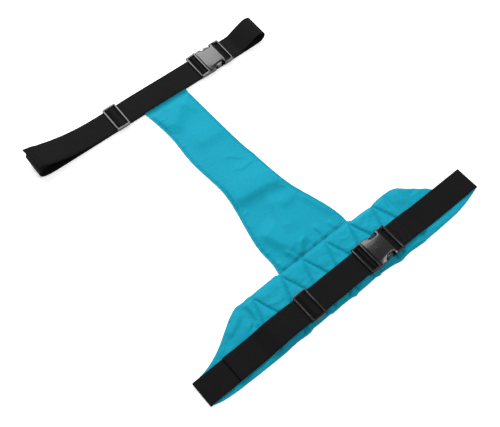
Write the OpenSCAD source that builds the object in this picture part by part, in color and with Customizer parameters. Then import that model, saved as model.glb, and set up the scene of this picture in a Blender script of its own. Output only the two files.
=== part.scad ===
// T-shaped gait and seating belt, lying closed and flat on a surface.
// X runs along the waist belt, Y up the panel to the seat strap, Z up.
// The origin is the middle of the waist belt's webbing, on the surface it lies on.
// The waist belt is a padded, quilted band on a webbing belt. The panel is sewn to it
// and ends in a sleeve round the seat strap. Each belt closes with a side-release
// buckle and is set to length with a three-bar slider.

/* [Webbing] */
// Width of the black webbing
web_w = 50; // [40:1:60]
// Thickness of the webbing
web_t = 1.8; // [1.4:0.1:2.2]

/* [Waist belt] */
// Length of the waist belt, from fold to fold
waist_len = 637; // [560:1:760]
// Height of the band above the middle of the webbing
band_top = 80; // [70:1:100]
// Depth of the band below the middle of the webbing
band_bottom = 36; // [34:1:45]
// Half the length of the padded, quilted middle
quilt_half = 168; // [150:1:200]
// Thickness of the foam in the middle
pad_t = 5; // [3:0.5:8]
// Thickness of each layer of cloth
cloth_t = 1; // [0.8:0.1:1.2]
// Distance between the peaks of the zigzag quilting
quilt_pitch = 56; // [46:1:70]
// Left end of the loose tail
waist_tail_x = -252; // [-270:1:-200]
// Middle of the slider
waist_slider_x = -80.5; // [-95:0.5:-40]
// Outer face of the plug's end bar
waist_buckle_x = 43.5; // [20:0.5:60]

/* [Panel] */
// Distance between the middles of the two belts
strap_spacing = 527; // [450:1:640]
// Width of the panel where it joins the band
panel_foot_w = 164; // [130:1:200]
// Width of the panel along its straight part
panel_neck_w = 99; // [80:1:120]
// Length of the flare above the band
panel_flare = 205; // [150:1:240]

/* [Seat strap] */
// Length of the seat strap to the left of the panel's middle
seat_left = 290; // [240:1:330]
// Length of the seat strap to the right of the panel's middle
seat_right = 245; // [215:1:300]
// Angle that the seat strap lies at
seat_tilt = -1.9; // [-4:0.1:4]
// Height of the loop at the left end
left_loop_h = 33; // [24:1:40]
// Height of the loop at the right end
right_loop_h = 30; // [24:1:40]
// Left end of the loose tail
seat_tail_x = -282; // [-284:1:-268]
// Middle of the slider
seat_slider_x = -104; // [-120:1:-90]
// Outer face of the plug's end bar
seat_buckle_x = 83; // [70:1:100]

/* [Buckle] */
// Thickness of the arms beside the webbing
arm_t = 3.4; // [2.6:0.1:4]
// Thickness of the socket's shell
shell_t = 2.2; // [1.6:0.1:2.6]
// Height of the buckle
buckle_h = 12; // [11:0.5:15]
// Width of the end bars
bar_w = 3.8; // [3:0.1:5]
// Radius of the bars that the webbing goes round
wrap_bar_r = 2; // [1.6:0.1:2.2]

/* [Slider] */
// Width of each of the slider's bars
slider_bar_w = 4.2; // [3:0.1:5]
// Width of the slider's two slots
slider_slot_w = 8.7; // [7:0.1:10]

/* [Travel] */
// How far a plug and its socket move apart
release_travel = 40; // [36:1:60]

/* [Hidden] */

// Clearances
layer_gap = 0.1;   // between layers of webbing that lie on each other
rest_gap = 0.3;    // between a belt and the cloth that it lies on
slot_gap = 0.5;    // at each side of the webbing in a slot
sleeve_gap = 0.2;  // above and below the webbing in the panel's sleeve

// Colours
cloth_colour = [0.12, 0.66, 0.78];
thread_colour = [0.08, 0.52, 0.63];
web_colour = [0.13, 0.13, 0.14];
plastic_colour = [0.17, 0.17, 0.18];
foam_colour = [0.85, 0.85, 0.82];

// Curves

// Points on a circle, from angle a0 to angle a1.
function arc(c, r, a0, a1, n = 8) =
    [for (i = [0:n]) let (a = a0 + (a1 - a0) * i / n) c + r * [cos(a), sin(a)]];

// A cubic curve between p0 and p3.
function bezier(p0, p1, p2, p3, n = 8) =
    [for (i = [0:n]) let (t = i / n, s = 1 - t)
        s * s * s * p0 + 3 * s * s * t * p1 + 3 * s * t * t * p2 + t * t * t * p3];

// A smooth curve through every point of p.
function through(p, n = 5) =
    let (last = len(p) - 1)
    [for (k = [0:last - 1])
        let (a = p[max(k - 1, 0)], b = p[k], c = p[k + 1], d = p[min(k + 2, last)])
        for (i = [0:(k == last - 1 ? n : n - 1)])
            let (t = i / n)
            0.5 * (2 * b + (c - a) * t + (2 * a - 5 * b + 4 * c - d) * t * t
                + (3 * b - a - 3 * c + d) * t * t * t)];

function unit(v) = v / norm(v);
function left_of(v) = [-v[1], v[0]];

// The direction across a path at its point k.
function across(path, k) =
    left_of(unit(path[min(k + 1, len(path) - 1)] - path[max(k - 1, 0)]));

// A path moved sideways by d, to the left of its direction.
function beside(path, d) = [for (k = [0:len(path) - 1]) path[k] + d * across(path, k)];

function reversed(list) = [for (k = [len(list) - 1:-1:0]) list[k]];
function mirrored(list) = [for (p = reversed(list)) [-p[0], p[1]]];

// The outline of a strip of thickness t along a path.
function strip(path, t) = concat(beside(path, t / 2), reversed(beside(path, -t / 2)));

// Extrudes an outline drawn in X and Z along Y, centred on Y = 0.
module along_y(w, outline) {
    rotate([90, 0, 0]) linear_extrude(w, center = true) polygon(outline);
}

// Extrudes an outline drawn in Y and Z along X, from x0 to x1.
module along_x(x0, x1, outline) {
    translate([x0, 0, 0]) rotate([90, 0, 90]) linear_extrude(x1 - x0) polygon(outline);
}

// Webbing along a path. At its last hem points it is doubled, on the right-hand side.
module webbing(path, hem = 0) {
    n = len(path);
    doubled = [for (k = [0:n - 1])
        path[k] - (web_t / 2 + (k < n - hem ? 0 : web_t)) * across(path, k)];
    color(web_colour) along_y(web_w, concat(beside(path, web_t / 2), reversed(doubled)));
}

// Heights

under_z = web_t / 2;                          // middle of webbing that lies on the floor
lining_top = web_t + cloth_t * 0.8;           // top of the band's lining
wing_top = lining_top + cloth_t;              // top of the unpadded ends
pad_top = lining_top + pad_t;                 // top of the foam
band_h = pad_top + cloth_t;                   // top of the padded middle
waist_z0 = band_h + rest_gap;                 // level that the waist hardware lies at
sleeve_z = cloth_t + sleeve_gap;              // underside of the webbing in the sleeve
sleeve_top = sleeve_z + web_t + sleeve_gap + cloth_t;
seat_z0 = sleeve_top + rest_gap;              // level that the seat hardware lies at
low_z = layer_gap / 2 + web_t / 2;            // lower layer, above such a level
high_z = low_z + web_t + layer_gap;           // upper layer, above such a level

// Hardware layout: X from the outer face of the plug's end bar, Z from the level

slot_w = web_w + 2 * slot_gap;                // width of every webbing slot
half_w = slot_w / 2 + arm_t;                  // half the width of the hardware
bar_z = high_z + web_t / 2 + 0.45;            // underside of the bars over the webbing
bar_h = 3.8;                                  // height of those bars
wrap_z = low_z + web_t / 2 + layer_gap + wrap_bar_r;  // middle of a bar that is wrapped
wrap_r = wrap_bar_r + layer_gap + web_t / 2;  // middle of the webbing round such a bar
wrap_gap = 0.4;                               // webbing's clearance at the shoulder
end_room = 17.5;                              // end face to the shoulder or the body
wrap_out = end_room - wrap_gap - web_t / 2 - wrap_r;   // end face to the wrapped bar
mouth_x = end_room + 5;                       // plug's shoulder and the socket's mouth
body_len = 39;                                // length of the socket's body
socket_end = mouth_x + body_len + end_room;   // outer face of the socket's end bar
prong_x = mouth_x - 2.5;                      // root of the prongs
prong_y = 15;
window_x0 = mouth_x + 12.5;                   // side windows of the socket
window_x1 = window_x0 + 22.5;
window_y = 19.5;
rail_y = half_w - shell_t;                    // inner face of the socket's side walls
mid_z = buckle_h / 2 + 0.1;                   // middle of the socket's cavity

// Webbing paths, in X and Z

// Webbing round a wrapped bar: in along the lower layer, out along the upper one.
// The bar is at x, and the webbing leaves towards side (1 or -1), up to the lengths.
function wrap_path(x, z0, side, low_len, high_len) =
    let (c = [0, wrap_z],
        local = concat(
            [[low_len, low_z], [1.5, low_z]],
            arc(c, wrap_r, -90, -270, 8),
            through([c + wrap_r * [cos(62), sin(62)],
                c + wrap_r * [cos(40), sin(40)] + [0.5, 0],
                [wrap_r + 1.3, high_z + 0.85], [wrap_r + 3.4, high_z + 0.08],
                [wrap_r + 5.2, high_z]], 3),
            [[high_len, high_z]]))
    [for (p = local) [x + side * p[0], z0 + p[1]]];

// Height of two layers as they go over the slider's middle bar.
layer_pitch = web_t + layer_gap;
slider_half = 1.5 * slider_bar_w + slider_slot_w;
slider_rise = 2 * web_t + layer_gap + 1.3;
hump_half = slider_half - slider_bar_w + 1.3;
hump_stops = [for (i = [-10:10]) i * hump_half / 10];

// The lower layer, from x0 to x1 at height z, where it lifts over a slider.
function slider_path(x0, x1, z, slider_x) = concat(
    [[x0, z]],
    [for (u = hump_stops)
        [slider_x + u, z + slider_rise * pow(cos(90 * u / hump_half), 2)]],
    [[x1, z]]);

// Both layers from x0, through the slider, round the plug's bar and back to x0.
function adjuster_path(z0, x0, slider_x, buckle_x) =
    let (bar_x = buckle_x + wrap_out, x1 = slider_x + hump_half + 4,
        lower = slider_path(x0, x1, z0 + low_z, slider_x))
    concat(
        lower,
        wrap_path(bar_x, z0, -1, bar_x - x1 - 4, bar_x - x1 - 4),
        reversed(beside(lower, layer_pitch)));

// Waist belt ------------------------------------------------------------------

ramp_len = 26;                                 // from the top of the padding to the wing
ramp_stops = [for (i = [0:8]) quilt_half + ramp_len * i / 8];
both_ramps = concat([for (x = reversed(ramp_stops)) -x], ramp_stops);

// Middle of a layer of the belt as it lies on the band at x. Layer 0 is the lowest.
function lie_z(x, layer) =
    let (u = min(max((abs(x) - quilt_half) / ramp_len, 0), 1), down = u * u * (3 - 2 * u))
    waist_z0 + (wing_top - band_h) * down + low_z + layer * layer_pitch;

// A layer that lies on the band from x0 to x1.
function lying(x0, x1, layer) =
    [for (x = concat([x0], [for (r = both_ramps) if (r > x0 + 1 && r < x1 - 1) r], [x1]))
        [x, lie_z(x, layer)]];

fold_r = (lie_z(waist_len, 0) - under_z) / 2;
fold_x = waist_len / 2 - fold_r - web_t / 2;   // middle of each fold
tack_x = waist_len / 2 - 24;                   // ends of the webbing sewn to the band
drop_x = waist_slider_x - slider_half - 10;    // adjuster comes down to the band
lift_x = drop_x - 8;                           // and leaves the fixed layer
left_end = lift_x - release_travel - 1;        // end of the fixed layer
lap = 6;                                       // the adjuster's lap on it
tail_drop = 12;                                // past the lap, the tail comes down
hem_len = 11;                                  // the doubled end of the tail

// Webbing from a tack, round the left fold and in to the padded middle.
function fold_turn() = concat(
    [[tack_x, under_z]], arc([fold_x, under_z + fold_r], fold_r, -90, 90, 8));

module waist_webbing_back() {
    color(web_colour) translate([-tack_x, -web_w / 2, 0]) cube([2 * tack_x, web_w, web_t]);
}

module waist_webbing_left() {
    webbing(concat(reversed(mirrored(fold_turn())), lying(-fold_x + 4, left_end, 0)));
}

// Sewn end under the belt, round the socket's bar, and out to the right fold.
sewn_len = 38;
function waist_right_path() =
    let (bar_x = waist_buckle_x + socket_end - wrap_out)
    concat(
        wrap_path(bar_x, waist_z0, 1, sewn_len, sewn_len + 1),
        lying(bar_x + sewn_len + 12, fold_x - 4, 0),
        reversed(fold_turn()));

module waist_webbing_right() { webbing(waist_right_path()); }

// The tail lies on the fixed layer. The other end laps it under the tail.
function waist_adjuster_path() =
    let (path = adjuster_path(waist_z0, drop_x, waist_slider_x, waist_buckle_x),
        step = [for (i = [0:5]) let (u = i / 6) [lift_x + (drop_x - lift_x) * u,
            waist_z0 + low_z + layer_pitch * (1 + cos(180 * u)) / 2]],
        start = concat([[left_end - lap, lie_z(left_end - lap, 1)]], step))
    concat(start, path, reversed(beside(step, layer_pitch)),
        reversed(concat([[waist_tail_x, lie_z(waist_tail_x, 1)]],
            lying(waist_tail_x + hem_len, left_end - lap - 2 - tail_drop, 1),
            [for (x = [left_end - lap - 2, left_end - lap]) [x, lie_z(x, 2)]])));

module waist_webbing_adjuster() { webbing(waist_adjuster_path(), 2); }

// Outline of the band, inset by d. The wings taper to the width of the webbing.
function wing_edge(d) = bezier(
    [quilt_half + 8, band_top - d], [quilt_half + 50, band_top - 6 - d],
    [quilt_half + 70, web_w / 2 + 6 - d], [fold_x - 1 - d, web_w / 2 - d], 10);
function wing_foot(d) = bezier(
    [fold_x - 1 - d, -web_w / 2 + d], [fold_x - 20, -band_bottom + 4 + d],
    [fold_x - 50, -band_bottom + d], [fold_x - 80, -band_bottom + d], 6);
function band_half(d) = concat(wing_edge(d), wing_foot(d));
function band_outline(d) = concat(band_half(d), mirrored(band_half(d)));

module band_plate(z0, z1, d = 0) {
    translate([0, 0, z0]) linear_extrude(z1 - z0) polygon(band_outline(d));
}

pad_inset = 6;
module pad_block(grow) {
    y0 = -band_bottom + pad_inset - grow;
    y1 = band_top - pad_inset + grow;
    translate([-quilt_half + 2 - grow, y0, lining_top])
        cube([2 * (quilt_half - 2 + grow), y1 - y0, pad_t + grow]);
}

// The channel for the belt's webbing, along the underside of the band.
module belt_channel() {
    translate([-waist_len, -web_w / 2 - rest_gap, -1])
        cube([2 * waist_len, web_w + 2 * rest_gap, web_t + 1]);
}

// The lining's edge is set in by the front cloth that is turned down over it.
module waist_back_cloth() {
    color(cloth_colour) difference() {
        union() {
            band_plate(0, cloth_t);
            band_plate(cloth_t, lining_top, cloth_t);
        }
        belt_channel();
    }
}

module waist_padding() {
    color(foam_colour) pad_block(0);
}

module waist_front_cloth() {
    color(cloth_colour) difference() {
        union() {
            band_plate(lining_top, wing_top);
            difference() {
                band_plate(cloth_t, lining_top);
                band_plate(0, lining_top + cloth_t, cloth_t);
            }
            pad_block(cloth_t);
        }
        pad_block(0);
        belt_channel();
    }
}

// Threads stand a little proud of the cloth.
thread_w = 0.9;
thread_h = 0.4;

// A row of thread along a path drawn in X and Y, at height z.
module thread(path, z) {
    color(thread_colour) translate([0, 0, z]) linear_extrude(thread_h)
        polygon(strip(path, thread_w));
}

edge_inset = 4;
module band_edge_stitch() {
    for (side = [-1, 1]) mirror([side < 0 ? 1 : 0, 0, 0]) {
        thread([for (p = wing_edge(edge_inset)) if (p[0] > quilt_half + 9
            && p[1] > web_w / 2 + 2) p], wing_top);
        for (x = [quilt_half + 2.5, quilt_half + 5.5])
            thread([[x, web_w / 2 + 2], [x, band_top - edge_inset - 3]], wing_top);
    }
    thread([[-fold_x + 100, -band_bottom + 2.4], [fold_x - 100, -band_bottom + 2.4]], wing_top);
}

// Zigzag rows that hold the foam, with their peaks along the band's upper edge.
quilt_peak_y = band_top - pad_inset - 4;
quilt_foot_y = web_w / 2 + 3;
quilt_count = floor(2 * (quilt_half - 24) / quilt_pitch) + 1;
quilt_lean = quilt_pitch * 0.27;
module quilting_stitch() {
    for (k = [0:quilt_count - 1]) let (x = (k - (quilt_count - 1) / 2) * quilt_pitch)
        thread([[x - quilt_lean, quilt_foot_y], [x - 1, quilt_peak_y - 1],
            [x + 1, quilt_peak_y - 1], [x + quilt_lean, quilt_foot_y]], band_h);
}

// Four rows that close the webbing's loop on the socket's bar, with a cross inside.
module loop_stitch(x, z) {
    box = [14, web_w - 10];
    c = [for (sx = [-1, 1], sy = [-1, 1]) [x + sx * box[0] / 2, sy * box[1] / 2]];
    color(web_colour) translate([0, 0, z]) linear_extrude(thread_h) {
        difference() {
            translate([x - box[0] / 2, -box[1] / 2]) square(box);
            translate([x - box[0] / 2 + thread_w, -box[1] / 2 + thread_w])
                square(box - 2 * thread_w * [1, 1]);
        }
        for (pair = [[0, 3], [1, 2]])
            polygon(strip([for (i = pair) c[i] * 0.98 + [x, 0] * 0.02], thread_w));
    }
}

stitch_out = 17;   // middle of that stitching, from the socket's end
module waist_loop_stitch() {
    loop_stitch(waist_buckle_x + socket_end + stitch_out, waist_z0 + high_z + web_t / 2);
}

// Buckle and slider -----------------------------------------------------------

// A cross-section with rounded corners, for a bar along Y. Drawn in X and Z.
function bar_outline(x0, x1, z0, z1, r) = concat(
    arc([x1 - r, z0 + r], r, -90, 0, 4), arc([x1 - r, z1 - r], r, 0, 90, 4),
    arc([x0 + r, z1 - r], r, 90, 180, 4), arc([x0 + r, z0 + r], r, 180, 270, 4));

module bar(x0, x1, z0, z1, r = 1.2, w = slot_w + 2) {
    along_y(w, bar_outline(x0, x1, z0, z1, r));
}

module wrapped_bar(x) {
    translate([x, 0, wrap_z]) rotate([90, 0, 0])
        cylinder(h = slot_w + 2, r = wrap_bar_r, center = true, $fn = 32);
}

// Two arms beside the webbing, drawn in X and Z.
module arms(outline, t = arm_t) {
    for (side = [-1, 1])
        translate([0, side * (half_w - t / 2), 0]) along_y(t, outline);
}

// The plug: end bar, wrapped bar, shoulder and the blade that guides it in.
module plug() {
    top = buckle_h - 2.4;
    blade = [mouth_x + 30, 5.5];
    difference() {
        union() {
            bar(0, bar_w, bar_z, bar_z + bar_h);
            wrapped_bar(wrap_out);
            arms(concat([[0.5, 2.2]], [[end_room + 1, 1.2], [end_room + 1, top]],
                arc([bar_w, bar_z + bar_h - 2.5], 2.5, 90, 150, 4), [[0.2, bar_z + 1]]));
            along_y(2 * half_w, bar_outline(end_room, mouth_x - 0.3, 1, top + 0.4, 1.4));
            along_y(2 * blade[1], bar_outline(mouth_x - 3, blade[0], mid_z - 2.6, mid_z + 2.6, 1));
        }
        for (side = [-1, 1]) prong_seat(side);
    }
}

// The pocket in the shoulder that a prong's round root turns in.
root_r = 2.4;
module prong_seat(side) {
    translate([prong_x, side * prong_y, mid_z])
        cylinder(h = 7.4, r = root_r + 0.2, center = true, $fn = 40);
    translate([prong_x, side * prong_y, mid_z - 3.7])
        linear_extrude(7.4) polygon([[0, -3.4], [6, -5], [6, 5], [0, 3.4]]);
}

// A prong, drawn in X and Y for the side at +Y: a slim arm, then the button and its tip.
button_y = half_w - 1.8;
prong_arm = concat(
    arc([prong_x, prong_y], root_r, 150, 300, 8),
    bezier([prong_x + 3, prong_y - 1.2], [window_x0, prong_y + 3],
        [window_x1 - 14, window_y + 0.5], [window_x1 - 1.5, window_y - 4], 8),
    bezier([window_x1 + 0.5, window_y - 2.6], [window_x1 - 2, window_y + 3],
        [window_x1 - 5, button_y - 3], [window_x0 + 10, button_y - 2], 6),
    [[window_x0 + 4, button_y - 3.5]],
    bezier([window_x0 - 2, rail_y - 4.6], [window_x0 - 6, rail_y - 7],
        [prong_x + 6, prong_y + 4], [prong_x + 1, prong_y + root_r], 6));
prong_button = concat(
    [[window_x0 + 5, button_y - 5], [window_x0 + 5, button_y - 1.6]],
    bezier([window_x0 + 5.6, button_y - 0.7], [window_x0 + 10, button_y + 0.6],
        [window_x1 - 8, button_y - 0.4], [window_x1 - 5, button_y - 3], 8),
    [[window_x1 - 5, button_y - 5]]);

module prong() {
    translate([0, 0, mid_z - 2.4]) linear_extrude(4.8) polygon(prong_arm);
    translate([0, 0, mid_z - 3.3]) linear_extrude(6.6) polygon(prong_button);
}

// The socket's body, from its three outlines, is crowned both ways.
crown_y = 150;
crown_x = 210;
body_plan = let (x0 = mouth_x, x1 = mouth_x + body_len, r = 2.6) concat(
    arc([x1 - 1, half_w - 1], 1, 90, 0, 4), arc([x1 - 1, -half_w + 1], 1, 0, -90, 4),
    arc([x0 + r, -half_w + r], r, -90, -180, 4), arc([x0 + r, half_w - r], r, 180, 90, 4));
body_front = let (drop = crown_y - sqrt(crown_y * crown_y - half_w * half_w),
        a = asin((half_w - 2) / crown_y)) concat(
    arc([-half_w + 1, 1.2], 1, 180, 270, 3), arc([half_w - 1, 1.2], 1, -90, 0, 3),
    arc([half_w - 2, buckle_h - drop - 1.8], 2, 0, 70, 4),
    arc([0, buckle_h - crown_y], crown_y, 90 - a, 90 + a, 16),
    arc([-half_w + 2, buckle_h - drop - 1.8], 2, 110, 180, 4));
body_side = let (middle = mouth_x + body_len * 0.38, x0 = mouth_x - 1,
        x1 = mouth_x + body_len + 1) concat(
    [[x0, 0]], [[x1, 0]],
    arc([middle, buckle_h - crown_x], crown_x, 90 - asin((x1 - middle) / crown_x),
        90 + asin((middle - x0) / crown_x), 12));

// A side window: open at the side, with a sloping front end and a round back end.
function window_outline() = concat(
    [[window_x0, half_w + 2], [window_x0, rail_y - 0.6]],
    bezier([window_x0 + 1, rail_y - 2], [window_x0 + 5, window_y + 0.4],
        [window_x0 + 8, window_y], [window_x0 + 11, window_y], 6),
    arc([window_x1 - 4, window_y + 4], 4, 270, 360, 6),
    [[window_x1 - 0.6, half_w + 2]]);

module socket() {
    cavity_h = buckle_h - 2 * shell_t - 1;
    inner_x = mouth_x + body_len - shell_t;
    difference() {
        intersection() {
            linear_extrude(buckle_h + 1) polygon(body_plan);
            along_x(0, socket_end, body_front);
            along_y(2 * half_w + 2, body_side);
        }
        difference() {
            translate([mouth_x - 1, -rail_y, mid_z - cavity_h / 2])
                cube([inner_x - mouth_x + 1, 2 * rail_y, cavity_h]);
            // ribs beside the plug's blade join the two faces
            for (side = [-1, 1])
                translate([mouth_x + 8, side * 7.2 - 0.7, 0]) cube([body_len, 1.4, buckle_h]);
        }
        for (side = [0, 1]) mirror([0, side, 0])
            translate([0, 0, -1]) linear_extrude(buckle_h + 2) polygon(window_outline());
    }
    arms(concat([[mouth_x + body_len - 1, 1.2], [socket_end - 1.5, 2.2]],
        arc([socket_end - 2.5, bar_z + bar_h - 2.5], 2.5, 0, 90, 4),
        [[mouth_x + body_len - 1, buckle_h - 3.4]]));
    bar(socket_end - bar_w, socket_end, bar_z, bar_z + bar_h);
    wrapped_bar(socket_end - wrap_out);
}

module buckle_socket(x, z0) { color(plastic_colour) translate([x, 0, z0]) socket(); }
module buckle_plug(x, z0) { color(plastic_colour) translate([x, 0, z0]) plug(); }
module buckle_prong(x, z0, side) {
    color(plastic_colour) translate([x, 0, z0]) mirror([0, side < 0 ? 1 : 0, 0]) prong();
}

// The slider: the webbing goes under both outer bars and over the middle one.
slider_low = 1.9;
module slider(x, z0) {
    top = bar_z + 3;
    middle_top = low_z + slider_rise - web_t / 2 - 0.55;
    corner = 5;
    color(plastic_colour) translate([x, 0, z0]) {
        for (side = [-1, 1]) {
            inner = side * (slider_half - slider_bar_w);
            bar(min(inner, side * slider_half), max(inner, side * slider_half), bar_z, top);
        }
        bar(-slider_bar_w / 2, slider_bar_w / 2, slider_low, middle_top, 1);
        intersection() {
            arms(bar_outline(-slider_half, slider_half, slider_low, top, 1.2));
            linear_extrude(top + 1) polygon([for (sx = [1, -1], sy = [1, -1])
                let (s = sx * sy) each arc(
                    [sx * (slider_half - corner), s * (half_w - corner)], corner,
                    sx > 0 ? (s > 0 ? 90 : 0) : (s > 0 ? -180 : -90),
                    sx > 0 ? (s > 0 ? 0 : -90) : (s > 0 ? -270 : -180), 6)]);
        }
    }
}

module waist_buckle_socket() { buckle_socket(waist_buckle_x, waist_z0); }
module waist_buckle_plug() { buckle_plug(waist_buckle_x, waist_z0); }
module waist_prong_left() { buckle_prong(waist_buckle_x, waist_z0, 1); }
module waist_prong_right() { buckle_prong(waist_buckle_x, waist_z0, -1); }
module waist_slider() { slider(waist_slider_x, waist_z0); }

// Panel -----------------------------------------------------------------------

seam_gap = 0.4;
panel_y0 = band_top + seam_gap;                     // foot of the panel
sleeve_half = web_w / 2 + 1.5;                      // half the room in the sleeve
sleeve_y0 = strap_spacing - sleeve_half - cloth_t;  // near side of the sleeve
flange = 14;                                        // sleeve's flange on the panel
panel_top = sleeve_y0 - flange;                     // end of the flat part

// The right edge of the panel, from its foot to the sleeve, inset by d.
function panel_edge(d) = concat(
    bezier([panel_foot_w / 2 - d, panel_y0],
        [panel_foot_w / 2 - 1 - d, panel_y0 + panel_flare * 0.36],
        [panel_neck_w / 2 + 4 - d, panel_y0 + panel_flare * 0.7],
        [panel_neck_w / 2 - d, panel_y0 + panel_flare], 10),
    [[panel_neck_w / 2 - 2 - d, panel_top + 4]]);
function panel_outline(d = 0) = concat(panel_edge(d), mirrored(panel_edge(d)));

module tilted() {
    translate([0, strap_spacing, 0]) rotate([0, 0, seat_tilt]) children();
}

sleeve_x = panel_neck_w / 2 - 2.5;
module panel_back_cloth() {
    color(cloth_colour) {
        linear_extrude(cloth_t) polygon(panel_outline());
        tilted() translate([-sleeve_x, -sleeve_half - cloth_t - flange, 0])
            cube([2 * sleeve_x, 2 * sleeve_half + 2 * cloth_t + flange, cloth_t]);
    }
}

// The sleeve's cross-section, in Y and Z, measured from the middle of the strap.
function sleeve_outline() =
    let (y = sleeve_half, h = sleeve_top, t = cloth_t) [
        [-y - t - flange, t], [-y, t], [-y, h - t], [y, h - t], [y, t], [y + t, t],
        [y + t, h - 1], [y + t - 1, h], [-y - t, h],
        [-y - t - 3, 2 * t], [-y - t - flange, 2 * t]];

module panel_front_cloth() {
    color(cloth_colour) {
        translate([0, 0, cloth_t]) linear_extrude(cloth_t) polygon(panel_outline());
        tilted() along_x(-sleeve_x, sleeve_x, sleeve_outline());
    }
}

module panel_edge_stitch() {
    for (side = [0, 1]) mirror([side, 0, 0]) thread(panel_edge(edge_inset), 2 * cloth_t);
}

// Two rows along the seam between panel and band: one on each.
module panel_seam_stitch() {
    half = panel_foot_w / 2 - edge_inset - 2;
    for (y = [panel_y0 + 2, panel_y0 + 5]) thread([[-half, y], [half, y]], 2 * cloth_t);
}

module sleeve_stitch() {
    half = sleeve_x - edge_inset - 2;
    tilted() for (y = [-sleeve_half - 6, -sleeve_half - 9])
        thread([[-half, y], [half, y]], 2 * cloth_t);
}

// Seat strap, drawn along X and then placed at its tilt ---------------------------

seat_under = sleeve_z + web_t / 2;
seat_split = 15;                       // where the strap's two halves meet in the sleeve
seat_join = seat_slider_x - slider_half - 12;

// The left half: out of the sleeve, round the loop and back to the slider.
function seat_left_path() =
    let (h = left_loop_h - seat_under, z = seat_under, e = seat_left - web_t / 2)
    concat(
        [[seat_split, z], [-60, z], [-e + 70, z]],
        through([[-e + 50, z], [-e + 28, z + 0.4], [-e + 10, z + h * 0.11], [-e + 1, z + h * 0.32],
            [-e + 0.4, z + h * 0.6], [-e + 5, z + h * 0.86], [-e + 14, z + h * 0.98],
            [-e + 28, z + h * 0.9], [-e + 50, z + h * 0.62], [-e + 78, z + h * 0.35],
            [-e + 110, seat_z0 + low_z + 1.8], [seat_join - 26, seat_z0 + low_z + 0.1],
            [seat_join - 12, seat_z0 + low_z]], 4),
        [[seat_join, seat_z0 + low_z]]);

module seat_webbing_left() { tilted() webbing(seat_left_path()); }

// The part of that path that the tail lies on, from its end to the slider.
function seat_tail_base() =
    [for (p = seat_left_path()) if (p[1] > seat_z0 && p[0] > -seat_left + 13) p];

// Round the plug's bar from the end of the left half, and back on it to the tail's end.
function seat_adjuster_path() =
    let (top = reversed(beside(seat_tail_base(), layer_pitch)), last = top[len(top) - 1])
    concat(
        adjuster_path(seat_z0, seat_join, seat_slider_x, seat_buckle_x),
        [for (k = [1:len(top) - 1]) top[k]],
        [[seat_tail_x, last[1] + 0.6]]);

module seat_webbing_adjuster() {
    tilted() webbing(seat_adjuster_path(), 4);
}

// The right half: round the socket's bar, over the loop and back into the sleeve.
function seat_right_path() =
    let (h = right_loop_h - seat_under, z = seat_under, e = seat_right - web_t / 2,
        bar_x = seat_buckle_x + socket_end - wrap_out, end_x = seat_buckle_x + socket_end)
    concat(
        wrap_path(bar_x, seat_z0, 1, wrap_out + 16, wrap_out),
        through([[end_x + 3, seat_z0 + high_z], [end_x + 18, seat_z0 + high_z],
            [end_x + 24, seat_z0 + high_z + 1],
            [e - 48, z + h * 0.42], [e - 30, z + h * 0.78], [e - 16, z + h * 0.96],
            [e - 4, z + h * 0.84], [e, z + h * 0.52], [e - 3, z + h * 0.22],
            [e - 14, z + h * 0.05], [e - 36, z]], 4),
        [[seat_split + rest_gap, z]]);

module seat_webbing_right() { tilted() webbing(seat_right_path()); }

module seat_loop_stitch() {
    tilted() loop_stitch(seat_buckle_x + socket_end + 9, seat_z0 + high_z + web_t / 2 + 0.15);
}

module seat_buckle_socket() { tilted() buckle_socket(seat_buckle_x, seat_z0); }
module seat_buckle_plug() { tilted() buckle_plug(seat_buckle_x, seat_z0); }
module seat_prong_left() { tilted() buckle_prong(seat_buckle_x, seat_z0, 1); }
module seat_prong_right() { tilted() buckle_prong(seat_buckle_x, seat_z0, -1); }
module seat_slider() { tilted() slider(seat_slider_x, seat_z0); }

waist_back_cloth();
waist_padding();
waist_front_cloth();
waist_webbing_back();
waist_webbing_left();
waist_webbing_right();
waist_webbing_adjuster();
waist_loop_stitch();
waist_buckle_socket();
waist_buckle_plug();
waist_prong_left();
waist_prong_right();
waist_slider();
band_edge_stitch();
quilting_stitch();
panel_back_cloth();
panel_front_cloth();
panel_edge_stitch();
panel_seam_stitch();
sleeve_stitch();
seat_webbing_left();
seat_webbing_right();
seat_webbing_adjuster();
seat_loop_stitch();
seat_buckle_socket();
seat_buckle_plug();
seat_prong_left();
seat_prong_right();
seat_slider();
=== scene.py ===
# %% [markdown]
# # A padded seating belt with a cloth panel and two webbing straps
#
# This lesson dresses a finished mechanical model. The frame, which holds the joints and
# every true size, is loaded first and never moved. Each soft or moulded piece is then made
# in the space that its plain solid holds, rides on the same body, and takes its place.
# The object lies closed and flat: X runs along the waist belt, Y up the panel, Z up.

# %% Load the frame
import math
import bpy
import numpy as np
from mathutils import Matrix, Vector
from mathutils.bvhtree import BVHTree


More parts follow.
